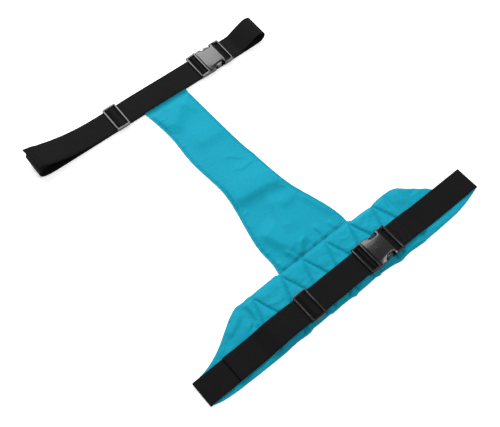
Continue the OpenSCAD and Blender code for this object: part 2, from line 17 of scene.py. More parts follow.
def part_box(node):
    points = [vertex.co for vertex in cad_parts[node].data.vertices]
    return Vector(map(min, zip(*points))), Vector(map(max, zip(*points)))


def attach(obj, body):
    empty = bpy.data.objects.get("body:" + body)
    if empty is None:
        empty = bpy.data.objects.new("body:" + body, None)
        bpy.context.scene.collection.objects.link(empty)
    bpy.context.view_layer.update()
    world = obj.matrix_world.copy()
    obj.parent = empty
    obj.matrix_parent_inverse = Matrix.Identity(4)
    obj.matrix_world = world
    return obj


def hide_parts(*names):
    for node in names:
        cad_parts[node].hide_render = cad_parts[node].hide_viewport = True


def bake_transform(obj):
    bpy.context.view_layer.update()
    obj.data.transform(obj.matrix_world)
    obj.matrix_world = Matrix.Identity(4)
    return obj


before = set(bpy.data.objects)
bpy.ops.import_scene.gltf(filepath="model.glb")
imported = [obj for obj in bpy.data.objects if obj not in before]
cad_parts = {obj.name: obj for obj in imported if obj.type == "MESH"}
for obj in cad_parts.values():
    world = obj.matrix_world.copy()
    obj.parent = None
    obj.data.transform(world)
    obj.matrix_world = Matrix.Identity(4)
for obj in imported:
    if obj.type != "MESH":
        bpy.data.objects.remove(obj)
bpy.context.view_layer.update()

# %% [markdown]
# ## Camera, floor and light
#
# The camera is made first, because everything is judged through it. It looks down steeply
# from the left of the waist belt. The light is soft: one large panel high on the far side,
# whose reflection lies on the buckles, two smaller panels, and a dim even sky. The floor
# gives off a little light of its own, so that it comes out nearly white.

# %% The camera
scene = bpy.context.scene
scene.view_settings.view_transform = "Standard"
VIEW_AZIMUTH = math.radians(-40.25)
VIEW_ELEVATION = math.radians(62.49)
VIEW_DISTANCE = 1.53
LENS = 60.15
FLOOR_LEVEL = -0.0004
SKY_STRENGTH = 0.2
FLOOR_GLOW = 0.45
look_at = Vector((-0.0391, 0.2066, 0.0))
toward_camera = Vector((
    math.sin(VIEW_AZIMUTH) * math.cos(VIEW_ELEVATION),
    -math.cos(VIEW_AZIMUTH) * math.cos(VIEW_ELEVATION),
    math.sin(VIEW_ELEVATION)))
bpy.ops.object.camera_add(location=look_at + VIEW_DISTANCE * toward_camera)
camera = bpy.context.object
camera.rotation_mode = "QUATERNION"
camera.rotation_quaternion = (-toward_camera).to_track_quat("-Z", "Y")
camera.data.lens = LENS
camera.data.clip_end = 50
scene.camera = camera
print("camera at", [round(v, 3) for v in camera.location])

# %% The floor and the light
bpy.ops.mesh.primitive_plane_add(size=30, location=(0, 0, FLOOR_LEVEL))
floor = bpy.context.object
floor.name = "floor"


def soft_panel(name, location, size, power):
    """A square light panel that faces the middle of the object."""
    bpy.ops.object.light_add(type="AREA", location=location)
    lamp = bpy.context.object
    lamp.name = name
    lamp.data.size = size
    lamp.data.energy = power
    lamp.rotation_mode = "QUATERNION"
    lamp.rotation_quaternion = (look_at - Vector(location)).to_track_quat("-Z", "Y")
    return lamp


soft_panel("far_panel", (0.55, 2.1, 1.95), 2.1, 102)
soft_panel("left_panel", (-2.3, 0.5, 1.7), 1.0, 14)
soft_panel("near_panel", (1.5, -1.0, 2.6), 1.2, 42)
world = bpy.data.worlds.new("studio")
world.use_nodes = True
world.node_tree.nodes["Background"].inputs["Color"].default_value = (1, 1, 1, 1)
world.node_tree.nodes["Background"].inputs["Strength"].default_value = SKY_STRENGTH
scene.world = world

# %% [markdown]
# ## Driving sizes
#
# The real belt is made from stock parts: webbing 50 mm wide, cloth, and hardware to suit.
# Those few sizes drive every path below, so they are written once. Levels are counted up
# from the surface that the belt lies on, layer by layer, as a sewer would stack them.

# %% Driving sizes, in metres
MM = 0.001
web_w = 50 * MM
web_t = 1.8 * MM
waist_len = 637 * MM
band_top = 80 * MM
band_bottom = 36 * MM
quilt_half = 168 * MM
cloth_t = 1 * MM
layer_gap = 0.1 * MM
rest_gap = 0.3 * MM
lining_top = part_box("waist_padding")[0].z
wing_top = lining_top + cloth_t
band_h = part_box("waist_front_cloth")[1].z
waist_z0 = band_h + rest_gap
low_z = layer_gap / 2 + web_t / 2
layer_pitch = web_t + layer_gap
high_z = low_z + layer_pitch
waist_slider_x = sum(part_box("waist_slider"), Vector()).x / 2
slider_half = waist_slider_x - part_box("waist_slider")[0].x
slider_bar_w = 4.2 * MM
waist_buckle_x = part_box("waist_buckle_plug")[0].x
socket_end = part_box("waist_buckle_socket")[1].x - waist_buckle_x
strap_spacing = 527 * MM
seat_tilt = math.radians(-1.9)
seat_slider_x = -104 * MM
seat_buckle_x = 83 * MM
sleeve_z = cloth_t + 0.2 * MM
sleeve_top = sleeve_z + web_t + 0.2 * MM + cloth_t
seat_z0 = sleeve_top + rest_gap
wrap_bar_r = 2 * MM
wrap_r = wrap_bar_r + layer_gap + web_t / 2
wrap_out = (17.5 - 0.4) * MM - web_t / 2 - wrap_r
sewn_len = 38 * MM
release_travel = 40 * MM
hem_len = 11 * MM
print("band", round(band_h / MM, 1), "mm thick; belt lies at", round(waist_z0 / MM, 1), "mm;",
      "slider at", round(waist_slider_x / MM, 1), "buckle at", round(waist_buckle_x / MM, 1))

# %% [markdown]
# ## Paths
#
# A strap is one flat ribbon, so its whole shape is a path seen from the side: along, and
# up. Paths are built from straight runs, arcs round bars and smooth curves through points.
# A second layer is the first path moved sideways by one thickness, so layers never cross.


# %% Path helpers
def eased(u):
    """A share from 0 to 1 that starts and ends level."""
    return u * u * (3 - 2 * u)


def ramp(value, length):
    """How far a value has come along a length from 0, held between 0 and 1."""
    return np.clip(value / length, 0, 1)


def arc(centre, r, a0, a1, n=14):
    """Points on a circle, in degrees from a0 to a1."""
    steps = [math.radians(a0 + (a1 - a0) * i / n) for i in range(n + 1)]
    return [(centre[0] + r * math.cos(a), centre[1] + r * math.sin(a)) for a in steps]


def through(points, n=8):
    """A smooth curve through every point."""
    p = [np.array(q, float) for q in points]
    last = len(p) - 1
    out = []
    for k in range(last):
        a, b, c, d = p[max(k - 1, 0)], p[k], p[k + 1], p[min(k + 2, last)]
        for i in range(n + (k == last - 1)):
            t = i / n
            out.append(0.5 * (2 * b + (c - a) * t + (2 * a - 5 * b + 4 * c - d) * t * t
                              + (3 * b - a - 3 * c + d) * t ** 3))
    return [tuple(q) for q in out]


def normals_of(path):
    """The direction to the left of a path at each of its points."""
    p = np.array(path, float)
    d = np.empty_like(p)
    d[1:-1] = p[2:] - p[:-2]
    d[0], d[-1] = p[1] - p[0], p[-1] - p[-2]
    d /= np.linalg.norm(d, axis=1)[:, None]
    return np.stack([-d[:, 1], d[:, 0]], axis=1)


def beside(path, d):
    """The path moved sideways, to the left of its direction."""
    return [tuple(q) for q in np.array(path, float) + d * normals_of(path)]


def dense(path, step=3 * MM):
    """The same path with extra points along its long straight runs."""
    out = [path[0]]
    for a, b in zip(path, path[1:]):
        length = math.dist(a, b)
        if length < 1e-7:
            continue
        n = max(1, math.ceil(length / step))
        out += [(a[0] + (b[0] - a[0]) * i / n, a[1] + (b[1] - a[1]) * i / n)
                for i in range(1, n + 1)]
    return out


def part_of(path, x0, x1):
    """The stretch of a path that rises steadily in x between x0 and x1, cut at both."""
    xs = [q[0] for q in path]
    zs = [q[1] for q in path]
    inside = [q for q in path if x0 < q[0] < x1]
    return [(x0, float(np.interp(x0, xs, zs)))] + inside + [(x1, float(np.interp(x1, xs, zs)))]


# %% [markdown]
# ## Woven webbing as a mesh
#
# Real webbing is one flat band with rounded selvedges. It could be a curve with a profile,
# but a grid keeps its own length and width as a UV map, so the weave follows the strap
# round every loop. The grid is added, its points are laid along the path, and Solidify and
# Bevel give the thickness and the soft edge.


# %% The ribbon maker
def select_none():
    """Leaves any edit mode and clears the selection."""
    if bpy.context.object and bpy.context.object.mode != "OBJECT":
        bpy.ops.object.mode_set(mode="OBJECT")
    bpy.ops.object.select_all(action="DESELECT")


def only(obj):
    """Selects one object alone and makes it the active one."""
    select_none()
    obj.select_set(True)
    bpy.context.view_layer.objects.active = obj


def apply_all(obj):
    """Applies every modifier of an object, in order."""
    only(obj)
    for name in [m.name for m in obj.modifiers]:
        bpy.ops.object.modifier_apply(modifier=name)


def smooth(obj, angle=35):
    """Shades an object smooth, except at edges sharper than an angle."""
    only(obj)
    bpy.ops.object.shade_smooth_by_angle(angle=math.radians(angle))


def new_grid(name, columns, rows):
    """A grid of columns x rows points, and each point's column and row."""
    select_none()
    bpy.ops.mesh.primitive_grid_add(x_subdivisions=columns - 1, y_subdivisions=rows - 1, size=1)
    obj = bpy.context.object
    obj.name = name
    obj.data.name = name
    co = points_of(obj)
    column = np.rint((co[:, 0] + 0.5) * (columns - 1)).astype(int)
    row = np.rint((co[:, 1] + 0.5) * (rows - 1)).astype(int)
    return obj, column, row


def set_points(obj, co):
    obj.data.vertices.foreach_set("co", np.asarray(co, float).ravel())
    obj.data.update()


def points_of(obj):
    co = np.empty(len(obj.data.vertices) * 3)
    obj.data.vertices.foreach_get("co", co)
    return co.reshape(-1, 3)


def set_uv(obj, uv_of_point):
    """Gives each corner the UV of its point, in metres along and across the cloth."""
    loops = np.empty(len(obj.data.loops), int)
    obj.data.loops.foreach_get("vertex_index", loops)
    obj.data.uv_layers.active.data.foreach_set("uv", np.asarray(uv_of_point)[loops].ravel())


def lay_cloth(obj, x, y, z):
    """Lays a grid's points at x, y, z, with x and y as its UV map."""
    set_points(obj, np.stack([x, y, z], axis=1))
    set_uv(obj, np.stack([x, y], axis=1))


POINTS_ACROSS = 9
SWAY_WAVE = 0.055
SWAY_FADE = 0.04
SELVEDGE = 0.45 * MM


def ribbon(name, path, start=0.0, sway=0.0):
    """One strap along a path of (x, z), centred on y = 0. Sway moves it gently sideways."""
    path = dense(path)
    obj, column, row = new_grid(name, len(path), POINTS_ACROSS)
    p = np.array(path)
    run = np.concatenate([[0], np.cumsum(np.linalg.norm(np.diff(p, axis=0), axis=1))]) + start
    v = (row / (POINTS_ACROSS - 1) - 0.5) * web_w
    to_end = np.minimum(run - run[0], run[-1] - run)
    drift = sway * np.sin(run / SWAY_WAVE + 0.7) * np.minimum(1, to_end / SWAY_FADE)
    set_points(obj, np.stack([p[column, 0], v + drift[column], p[column, 1]], axis=1))
    set_uv(obj, np.stack([run[column], v], axis=1))
    only(obj)
    shell = obj.modifiers.new("thickness", "SOLIDIFY")
    shell.thickness = web_t
    shell.offset = 0
    soft = obj.modifiers.new("selvedge", "BEVEL")
    soft.width = SELVEDGE
    soft.segments = 2
    soft.limit_method = "ANGLE"
    soft.angle_limit = math.radians(50)
    apply_all(obj)
    return obj


def joined(name, pieces):
    """Several meshes joined into one piece."""
    only(pieces[0])
    for piece in pieces[1:]:
        piece.select_set(True)
    if len(pieces) > 1:
        bpy.ops.object.join()
    obj = bpy.context.object
    obj.name = name
    obj.data.name = name
    smooth(obj)
    return obj


def tilt_to_seat(obj):
    """Moves a piece made along X to the seat strap's own place and angle."""
    obj.data.transform(Matrix.Translation((0, strap_spacing, 0))
                       @ Matrix.Rotation(seat_tilt, 4, "Z"))
    return obj


def seat_point(x, y=0.0, z=0.0):
    """A place given along and across the seat strap, in the frame's own axes."""
    return Vector((math.cos(seat_tilt) * x - math.sin(seat_tilt) * y,
                   strap_spacing + math.sin(seat_tilt) * x + math.cos(seat_tilt) * y, z))


# %% [markdown]
# ## Finishes
#
# Four finishes cover the object: black webbing, teal cloth, thread and moulded plastic.
# What they share, such as a weave with painted shade in its low places, slow colour change
# or worn edges, is a node group with its own inputs, so that one pattern can be fine on
# cloth and coarse on webbing.


# %% Node groups
def new_group(name, inputs, outputs):
    """An empty node group with its sockets, and its input and output nodes."""
    group = bpy.data.node_groups.new(name, "ShaderNodeTree")
    for label, kind, value in inputs:
        socket = group.interface.new_socket(label, in_out="INPUT", socket_type=kind)
        if value is not None:
            socket.default_value = value
    for label, kind in outputs:
        group.interface.new_socket(label, in_out="OUTPUT", socket_type=kind)
    return group, group.nodes.new("NodeGroupInput"), group.nodes.new("NodeGroupOutput")


def math_node(tree, operation, a, b=None, c=None, clamp=False):
    """A Math node. Each of its inputs is a number or another node's output."""
    node = tree.nodes.new("ShaderNodeMath")
    node.operation = operation
    node.use_clamp = clamp
    for slot, value in enumerate((a, b, c)):
        if value is None:
            continue
        if isinstance(value, (int, float)):
            node.inputs[slot].default_value = value
        else:
            tree.links.new(value, node.inputs[slot])
    return node.outputs[0]


def weave_group():
    """Warp ribs with picks that alternate from rib to rib: coarse for webbing, fine for cloth. The
    second output is painted shade, strongest where the weave lies low.
    """
    g, gin, gout = new_group(
        "weave", [("Vector", "NodeSocketVector", None), ("Rib", "NodeSocketFloat", 0.0016),
                  ("Pick", "NodeSocketFloat", 0.0011), ("Round", "NodeSocketFloat", 0.6)],
        [("Height", "NodeSocketFloat"), ("Painted_Gap_Shade", "NodeSocketFloat")])
    split = g.nodes.new("ShaderNodeSeparateXYZ")
    g.links.new(gin.outputs["Vector"], split.inputs[0])
    along = math_node(g, "DIVIDE", split.outputs["X"], gin.outputs["Pick"])
    over = math_node(g, "DIVIDE", split.outputs["Y"], gin.outputs["Rib"])
    rib = math_node(g, "ABSOLUTE", math_node(g, "SINE", math_node(g, "MULTIPLY", over, math.pi)))
    step = math_node(g, "MULTIPLY", math_node(g, "FLOOR", over), 0.5)
    phase = math_node(g, "MULTIPLY", math_node(g, "ADD", along, step), 2 * math.pi)
    pick = math_node(g, "MULTIPLY_ADD", math_node(g, "SINE", phase), 0.5, 0.5)
    dome = math_node(g, "POWER", rib, gin.outputs["Round"])
    height = math_node(g, "MULTIPLY", dome, math_node(g, "MULTIPLY_ADD", pick, 0.4, 0.6))
    g.links.new(height, gout.inputs["Height"])
    # painted shade: the second output is 1 less the height, so it is strongest in the weave's low
    # places
    g.links.new(math_node(g, "SUBTRACT", 1.0, height, clamp=True), gout.inputs["Painted_Gap_Shade"])
    return g


def slow_change_group():
    """Two sizes of soft noise, for the unevenness of dyed cloth and moulded plastic."""
    g, gin, gout = new_group(
        "slow_change", [("Vector", "NodeSocketVector", None), ("Size", "NodeSocketFloat", 0.05)],
        [("Broad", "NodeSocketFloat"), ("Fine", "NodeSocketFloat")])
    for label, factor, detail in (("Broad", 1.0, 3), ("Fine", 12.0, 2)):
        noise = g.nodes.new("ShaderNodeTexNoise")
        noise.inputs["Detail"].default_value = detail
        scale = math_node(g, "DIVIDE", factor, gin.outputs["Size"])
        g.links.new(gin.outputs["Vector"], noise.inputs["Vector"])
        g.links.new(scale, noise.inputs["Scale"])
        g.links.new(noise.outputs["Fac"], gout.inputs[label])
    return g


def worn_edge_group():
    """A mask that is 1 on sharp outer edges, where handling polishes or fades a surface."""
    g, gin, gout = new_group(
        "worn_edge", [("From", "NodeSocketFloat", 0.52), ("To", "NodeSocketFloat", 0.62)],
        [("Mask", "NodeSocketFloat")])
    shape = g.nodes.new("ShaderNodeNewGeometry")
    mapped = g.nodes.new("ShaderNodeMapRange")
    g.links.new(shape.outputs["Pointiness"], mapped.inputs["Value"])
    g.links.new(gin.outputs["From"], mapped.inputs["From Min"])
    g.links.new(gin.outputs["To"], mapped.inputs["From Max"])
    g.links.new(mapped.outputs["Result"], gout.inputs["Mask"])
    return g


WEAVE = weave_group()
SLOW_CHANGE = slow_change_group()
WORN_EDGE = worn_edge_group()
print("groups:", [g.name for g in bpy.data.node_groups if g.bl_idname == "ShaderNodeTree"])


# %% Material helpers
def new_material(name, roughness, **constants):
    """A material with its Principled shader. The constants go on the shader's own sockets."""
    mat = bpy.data.materials.new(name)
    mat.use_nodes = True
    shader = mat.node_tree.nodes["Principled BSDF"]
    shader.inputs["Roughness"].default_value = roughness
    for label, value in constants.items():
        shader.inputs[label.replace("_", " ")].default_value = value
    return mat, mat.node_tree, shader


def place_group(tree, group, **values):
    """A node group used in a material, with its inputs set or linked."""
    node = tree.nodes.new("ShaderNodeGroup")
    node.node_tree = group
    for label, value in values.items():
        if isinstance(value, (int, float)):
            node.inputs[label].default_value = value
        else:
            tree.links.new(value, node.inputs[label])
    return node


def mix_colour(tree, factor, a, b, blend="MIX"):
    """A colour Mix node. The sockets 0, 6 and 7 are its factor and its two colours."""
    node = tree.nodes.new("ShaderNodeMix")
    node.data_type = "RGBA"
    node.blend_type = blend
    for slot, value in ((0, factor), (6, a), (7, b)):
        if isinstance(value, (int, float, tuple)):
            node.inputs[slot].default_value = value
        else:
            tree.links.new(value, node.inputs[slot])
    return node.outputs[2]


def bumped(tree, shader, height, distance):
    """Sends a height to the shader as bump, for relief too fine to model."""
    bump = tree.nodes.new("ShaderNodeBump")
    bump.inputs["Strength"].default_value = 1.0
    bump.inputs["Distance"].default_value = distance
    tree.links.new(height, bump.inputs["Height"])
    tree.links.new(bump.outputs["Normal"], shader.inputs["Normal"])


# %% [markdown]
# ### Woven finishes
#
# Webbing is polypropylene in warp ribs about 1.6 mm apart. The cloth is a close plain weave
# in a bright teal. Both read the UV map in metres, so the thread count is true on every
# piece.


# %% Woven materials
def woven(name, deep, bright, rib, pick, bump, roughness, size, gloss):
    """Cloth from its two tones, its rib and pick, their relief with painted shade in its low
    places, and its gloss.
    """
    mat, tree, shader = new_material(name, roughness, Specular_IOR_Level=gloss)
    coords = tree.nodes.new("ShaderNodeTexCoord")
    weave = place_group(tree, WEAVE, Vector=coords.outputs["UV"], Rib=rib, Pick=pick)
    slow = place_group(tree, SLOW_CHANGE, Vector=coords.outputs["UV"], Size=size)
    broad = mix_colour(tree, slow.outputs["Broad"], deep, bright)
    # painted shade: the weave's low places are mixed towards a copy of the colour at 0.55 of its
    # brightness
    shade = math_node(tree, "MULTIPLY", weave.outputs["Painted_Gap_Shade"], 0.35)
    gap_shade_colour = mix_colour(tree, 1.0, broad, (0.55, 0.55, 0.55, 1), "MULTIPLY")
    tree.links.new(mix_colour(tree, shade, broad, gap_shade_colour), shader.inputs["Base Color"])
    rough = math_node(tree, "MULTIPLY_ADD", slow.outputs["Fine"], 0.2, roughness - 0.1)
    tree.links.new(rough, shader.inputs["Roughness"])
    bumped(tree, shader, weave.outputs["Height"], bump)
    return mat


webbing_finish = woven("black_webbing", deep=(0.0048, 0.0044, 0.0049, 1),
                       bright=(0.0080, 0.0074, 0.0080, 1), rib=1.6 * MM, pick=1.2 * MM,
                       bump=0.25 * MM, roughness=0.7, size=0.06, gloss=0.06)
cloth_finish = woven("teal_cloth", deep=(0.003, 0.272, 0.386, 1),
                     bright=(0.006, 0.306, 0.430, 1), rib=0.5 * MM, pick=0.5 * MM,
                     bump=0.05 * MM, roughness=0.6, size=0.09, gloss=0.07)


# %% Thread and plastic
def thread_material(name, colour):
    """Thread: its colour, with painted shade in the grooves of its twist."""
    mat, tree, shader = new_material(name, 0.5, Specular_IOR_Level=0.2)
    coords = tree.nodes.new("ShaderNodeTexCoord")
    twist = tree.nodes.new("ShaderNodeTexWave")
    twist.bands_direction = "DIAGONAL"
    twist.inputs["Scale"].default_value = 900
    tree.links.new(coords.outputs["Object"], twist.inputs["Vector"])
    # painted shade: a copy of the thread's colour at 0.6 of its brightness fills the twist's
    # grooves
    dim = tuple(0.6 * c for c in colour[:3]) + (1,)
    tree.links.new(mix_colour(tree, twist.outputs["Fac"], dim, colour),
                   shader.inputs["Base Color"])
    bumped(tree, shader, twist.outputs["Fac"], 0.08 * MM)
    return mat


def plastic_material(name):
    """Satin moulded plastic: a fine grain, broad gloss changes and paler, smoother edges."""
    mat, tree, shader = new_material(name, 0.36, IOR=1.5)
    coords = tree.nodes.new("ShaderNodeTexCoord")
    slow = place_group(tree, SLOW_CHANGE, Vector=coords.outputs["Object"], Size=0.03)
    grain = place_group(tree, SLOW_CHANGE, Vector=coords.outputs["Object"], Size=0.004)
    worn = place_group(tree, WORN_EDGE)
    body = mix_colour(tree, slow.outputs["Broad"], (0.005, 0.0047, 0.0053, 1),
                      (0.009, 0.0084, 0.0092, 1))
    edge = math_node(tree, "MULTIPLY", worn.outputs["Mask"], 0.25)
    tree.links.new(mix_colour(tree, edge, body, (0.055, 0.052, 0.055, 1)),
                   shader.inputs["Base Color"])
    rough = math_node(tree, "MULTIPLY_ADD", slow.outputs["Fine"], 0.12, 0.19)
    tree.links.new(math_node(tree, "SUBTRACT", rough, math_node(tree, "MULTIPLY", edge, 0.1)),
                   shader.inputs["Roughness"])
    height = math_node(tree, "MULTIPLY", grain.outputs["Fine"], 0.02 * MM)
    bumped(tree, shader, height, 1.0)
    return mat


teal_thread = thread_material("teal_thread", (0.006, 0.175, 0.26, 1))
black_thread = thread_material("black_thread", (0.012, 0.012, 0.013, 1))
plastic_finish = plastic_material("black_plastic")


def dress(obj, finish):
    """Puts one finish on a piece."""
    obj.data.materials.clear()
    obj.data.materials.append(finish)
    return obj


floor_mat, floor_tree, floor_shader = new_material("floor", 0.9)
floor_shader.inputs["Base Color"].default_value = (0.93, 0.93, 0.93, 1)
floor_shader.inputs["Emission Color"].default_value = (1, 1, 1, 1)
floor_shader.inputs["Emission Strength"].default_value = FLOOR_GLOW
floor.data.materials.append(floor_mat)

# %% [markdown]
# ## The waist belt's webbing
#
# One length runs under the band from fold to fold. On the left it comes back over the band
# and ends under the tail. On the right it goes round the socket's bar and is sewn down. The
# adjusting length passes over the slider's middle bar twice, so it has a hump there. That
# hump rides on the slider.


# %% Waist paths
ramp_len = 26 * MM


def lie_z(x, layer):
    """Height of the middle of a layer of webbing that lies on the band at x."""
    down = eased(min(max((abs(x) - quilt_half) / ramp_len, 0), 1))
    return waist_z0 + (wing_top - band_h) * down + low_z + layer * layer_pitch


def lying(x0, x1, layer):
    """A layer of webbing that lies on the band from x0 to x1."""
    n = max(2, math.ceil((x1 - x0) / (4 * MM)))
    return [(x0 + (x1 - x0) * i / n, lie_z(x0 + (x1 - x0) * i / n, layer))
            for i in range(n + 1)]


def wrap_path(x, z0, side, low_len, high_len):
    """Webbing that comes in low to a bar at x, turns round it and leaves on top."""
    r = wrap_bar_r + layer_gap + web_t / 2
    c = (0, low_z + web_t / 2 + layer_gap + wrap_bar_r)
    a, b = math.radians(62), math.radians(40)
    local = [(low_len, low_z), (1.5 * MM, low_z)] + arc(c, r, -90, -270) + through(
        [(r * math.cos(a), c[1] + r * math.sin(a)),
         (r * math.cos(b) + 0.5 * MM, c[1] + r * math.sin(b)),
         (r + 1.3 * MM, high_z + 0.85 * MM), (r + 3.4 * MM, high_z + 0.08 * MM),
         (r + 5.2 * MM, high_z)], 5) + [(high_len, high_z)]
    return [(x + side * p[0], z0 + p[1]) for p in local]


slider_rise = 2 * web_t + layer_gap + 1.3 * MM
hump_half = slider_half - slider_bar_w + 1.3 * MM


def hump(middle, z, x0, x1):
    """A layer that lifts over the slider's middle bar, from x0 to x1."""
    xs = [x0] + [middle + hump_half * i / 14 for i in range(-14, 15)] + [x1]
    return [(x, z + slider_rise * math.cos(
        min(abs(x - middle) / hump_half, 1) * math.pi / 2) ** 2) for x in xs]


drop_x = waist_slider_x - slider_half - 10 * MM
lift_x = drop_x - 8 * MM
left_end = lift_x - release_travel - 1 * MM
lap = 6 * MM
fold_r = (lie_z(waist_len, 0) - web_t / 2) / 2
fold_x = waist_len / 2 - fold_r - web_t / 2
right_fold = arc((fold_x, web_t / 2 + fold_r), fold_r, -90, 90)
left_fold = [(-x, z) for x, z in right_fold]
socket_bar = waist_buckle_x + socket_end - wrap_out
fixed_path = (lying(-fold_x + 4 * MM, left_end, 0)[::-1] + left_fold[::-1] + right_fold
              + lying(socket_bar + sewn_len + 12 * MM, fold_x - 4 * MM, 0)[::-1]
              + wrap_path(socket_bar, waist_z0, 1, sewn_len, sewn_len + 1 * MM)[::-1])
print("fixed waist webbing:", round(sum(map(math.dist, fixed_path, fixed_path[1:])), 3), "m")

# %% The fixed waist webbing
waist_fixed = joined("waist_webbing", [ribbon("fixed", fixed_path)])
dress(waist_fixed, webbing_finish)
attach(waist_fixed, "band")
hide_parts("waist_webbing_back", "waist_webbing_left", "waist_webbing_right")


# %% The adjusting webbing
slider_overlap = 1.6 * MM
beside_slider_len = 4 * MM
tail_run = 0.3


def adjusting_webbing(prefix, slider_x, bar_x, z0, low_start, tail, sway, place=None):
    """Three pieces: beside the slider with the tail, over its bar, and on to the plug."""
    left = slider_x - slider_half + slider_overlap
    right = slider_x + slider_half - slider_overlap
    before = slider_x - slider_half - beside_slider_len
    after = slider_x + slider_half + beside_slider_len
    lower = hump(slider_x, z0 + low_z, before, after)
    upper = beside(lower, layer_pitch)
    low_left = low_start + part_of(lower, before, left)
    tail_left = part_of(upper, slider_x - slider_half - 1 * MM, left)[::-1] + tail
    reach = bar_x - slider_x - slider_half - beside_slider_len
    wrap = wrap_path(bar_x, z0, -1, reach, reach)
    to_plug = (part_of(lower, right, after)[:-1] + wrap
               + part_of(upper, right, after)[::-1][1:])
    beside_slider = joined(prefix + "_tail", [
        ribbon("tail", tail_left, start=tail_run, sway=sway),
        ribbon("under", low_left, sway=sway)])
    over_bar = joined(prefix + "_over_slider", [
        ribbon("low", part_of(lower, left, right)), ribbon("high", part_of(upper, left, right))])
    plug_side = joined(prefix + "_to_plug", [ribbon("loop", to_plug, sway=sway)])
    for piece in (beside_slider, over_bar, plug_side):
        dress(piece, webbing_finish)
        if place:
            place(piece)
    return beside_slider, over_bar, plug_side


def cosine_step(x0, x1, z0, z1, n=8):
    """A smooth step in height from z0 to z1."""
    return [(x0 + (x1 - x0) * i / n, z0 + (z1 - z0) * (1 - math.cos(math.pi * i / n)) / 2)
            for i in range(n + 1)]


hem_rise = 9 * MM


def hemmed(path, layer_below):
    """Ends a tail with a hem: over its last stretch it rises, and comes back under itself."""
    end, (x, z) = [], path[-1]
    for px, pz in path:
        u = min(max((x + hem_len + hem_rise - px) / hem_rise, 0), 1)
        end.append((px, pz + layer_pitch * u * u * (3 - 2 * u)))
    turn = arc((x, z + layer_pitch / 2), layer_pitch / 2, 90, 270, 8)
    return end[:-1] + turn + layer_below


waist_tail_x = -252 * MM
lower_end = left_end - lap
low_start = ([(lower_end, lie_z(lower_end, 1))]
             + cosine_step(lift_x, drop_x, waist_z0 + high_z, waist_z0 + low_z))
upper_from = waist_slider_x - slider_half - 2 * MM
waist_tail = hemmed(
    cosine_step(upper_from, lift_x - 4 * MM, waist_z0 + high_z, waist_z0 + high_z + layer_pitch)
    + [(lower_end - 2 * MM, lie_z(lower_end - 2 * MM, 2))]
    + lying(waist_tail_x, lower_end - 30 * MM, 1)[::-1],
    lying(waist_tail_x, waist_tail_x + hem_len, 1))
waist_tail_piece, waist_hump, waist_loop = adjusting_webbing(
    "waist", waist_slider_x, waist_buckle_x + wrap_out, waist_z0, low_start, waist_tail,
    0.5 * MM)
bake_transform(waist_tail_piece)
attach(waist_hump, "waist_slider")
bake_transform(waist_loop)
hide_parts("waist_webbing_adjuster")

# %% [markdown]
# ## The seat strap's webbing
#
# It is the same webbing, but it stands in open loops at both ends. Its two halves meet
# inside the sleeve, where the right half can slide out with the socket.

# %% Seat paths
seat_left, seat_right = 290 * MM, 245 * MM
left_loop_h, right_loop_h = 33 * MM, 30 * MM
seat_under = sleeve_z + web_t / 2
seat_split = 15 * MM
seat_join = seat_slider_x - slider_half - 12 * MM
seat_tail_x = -282 * MM
# the strap's level in the sleeve, the left loop's height above it, and its far end
sz, sh, se = seat_under, left_loop_h - seat_under, seat_left - web_t / 2
left_curve = through([
    (-se + 50 * MM, sz), (-se + 28 * MM, sz + 0.4 * MM), (-se + 10 * MM, sz + sh * 0.11),
    (-se + 1 * MM, sz + sh * 0.32), (-se + 0.4 * MM, sz + sh * 0.6),
    (-se + 5 * MM, sz + sh * 0.86), (-se + 14 * MM, sz + sh * 0.98),
    (-se + 28 * MM, sz + sh * 0.9), (-se + 50 * MM, sz + sh * 0.62),
    (-se + 78 * MM, sz + sh * 0.35), (-se + 110 * MM, seat_z0 + low_z + 1.8 * MM),
    (seat_join - 26 * MM, seat_z0 + low_z + 0.1 * MM), (seat_join - 12 * MM, seat_z0 + low_z)])
split_x = -152 * MM
upper_run = [p for p in left_curve if p[1] > seat_z0 and p[0] > -seat_left + 13 * MM]
before_split = [p for k, p in enumerate(left_curve)
                if not (p[0] > split_x and k > len(left_curve) // 2)]
seat_loop_path = [(seat_split, sz), (-60 * MM, sz), (-se + 70 * MM, sz)] + before_split
seat_low_start = [p for p in upper_run if p[0] > split_x - 3 * MM] + [
    (seat_join, seat_z0 + low_z)]
tail_top = beside(upper_run, layer_pitch)[::-1]
tail_end = [(seat_tail_x, tail_top[-1][1] + 0.6 * MM)]
seat_tail = hemmed([(seat_join, seat_z0 + high_z)] + dense(tail_top + tail_end),
                   dense((tail_top[-3:] + tail_end)[::-1]))
print("left loop", round((max(p[1] for p in seat_loop_path) + web_t / 2) / MM, 1), "mm high")

# %% The left half and the adjusting webbing
def swing_tail(obj):
    """Lets the loose end of the tail stand off: its far corner lifts and points outward."""
    co = points_of(obj)
    u = eased(ramp(-262 * MM - co[:, 0], 22 * MM))
    far = np.clip(co[:, 1] / web_w + 0.5, 0, 1)
    co[:, 0] -= 6.5 * MM * u * far
    co[:, 1] += 2.5 * MM * u
    co[:, 2] += 3.2 * MM * u * far
    set_points(obj, co)
    return tilt_to_seat(obj)


seat_loop = joined("seat_webbing_left_half", [ribbon("loop", seat_loop_path)])
dress(tilt_to_seat(seat_loop), webbing_finish)
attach(seat_loop, "panel")
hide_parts("seat_webbing_left")
seat_tail_piece, seat_hump, seat_plug_loop = adjusting_webbing(
    "seat", seat_slider_x, seat_buckle_x + wrap_out, seat_z0, seat_low_start, seat_tail,
    0.7 * MM, swing_tail)
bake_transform(seat_tail_piece)
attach(seat_hump, "seat_slider")
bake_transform(seat_plug_loop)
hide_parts("seat_webbing_adjuster")

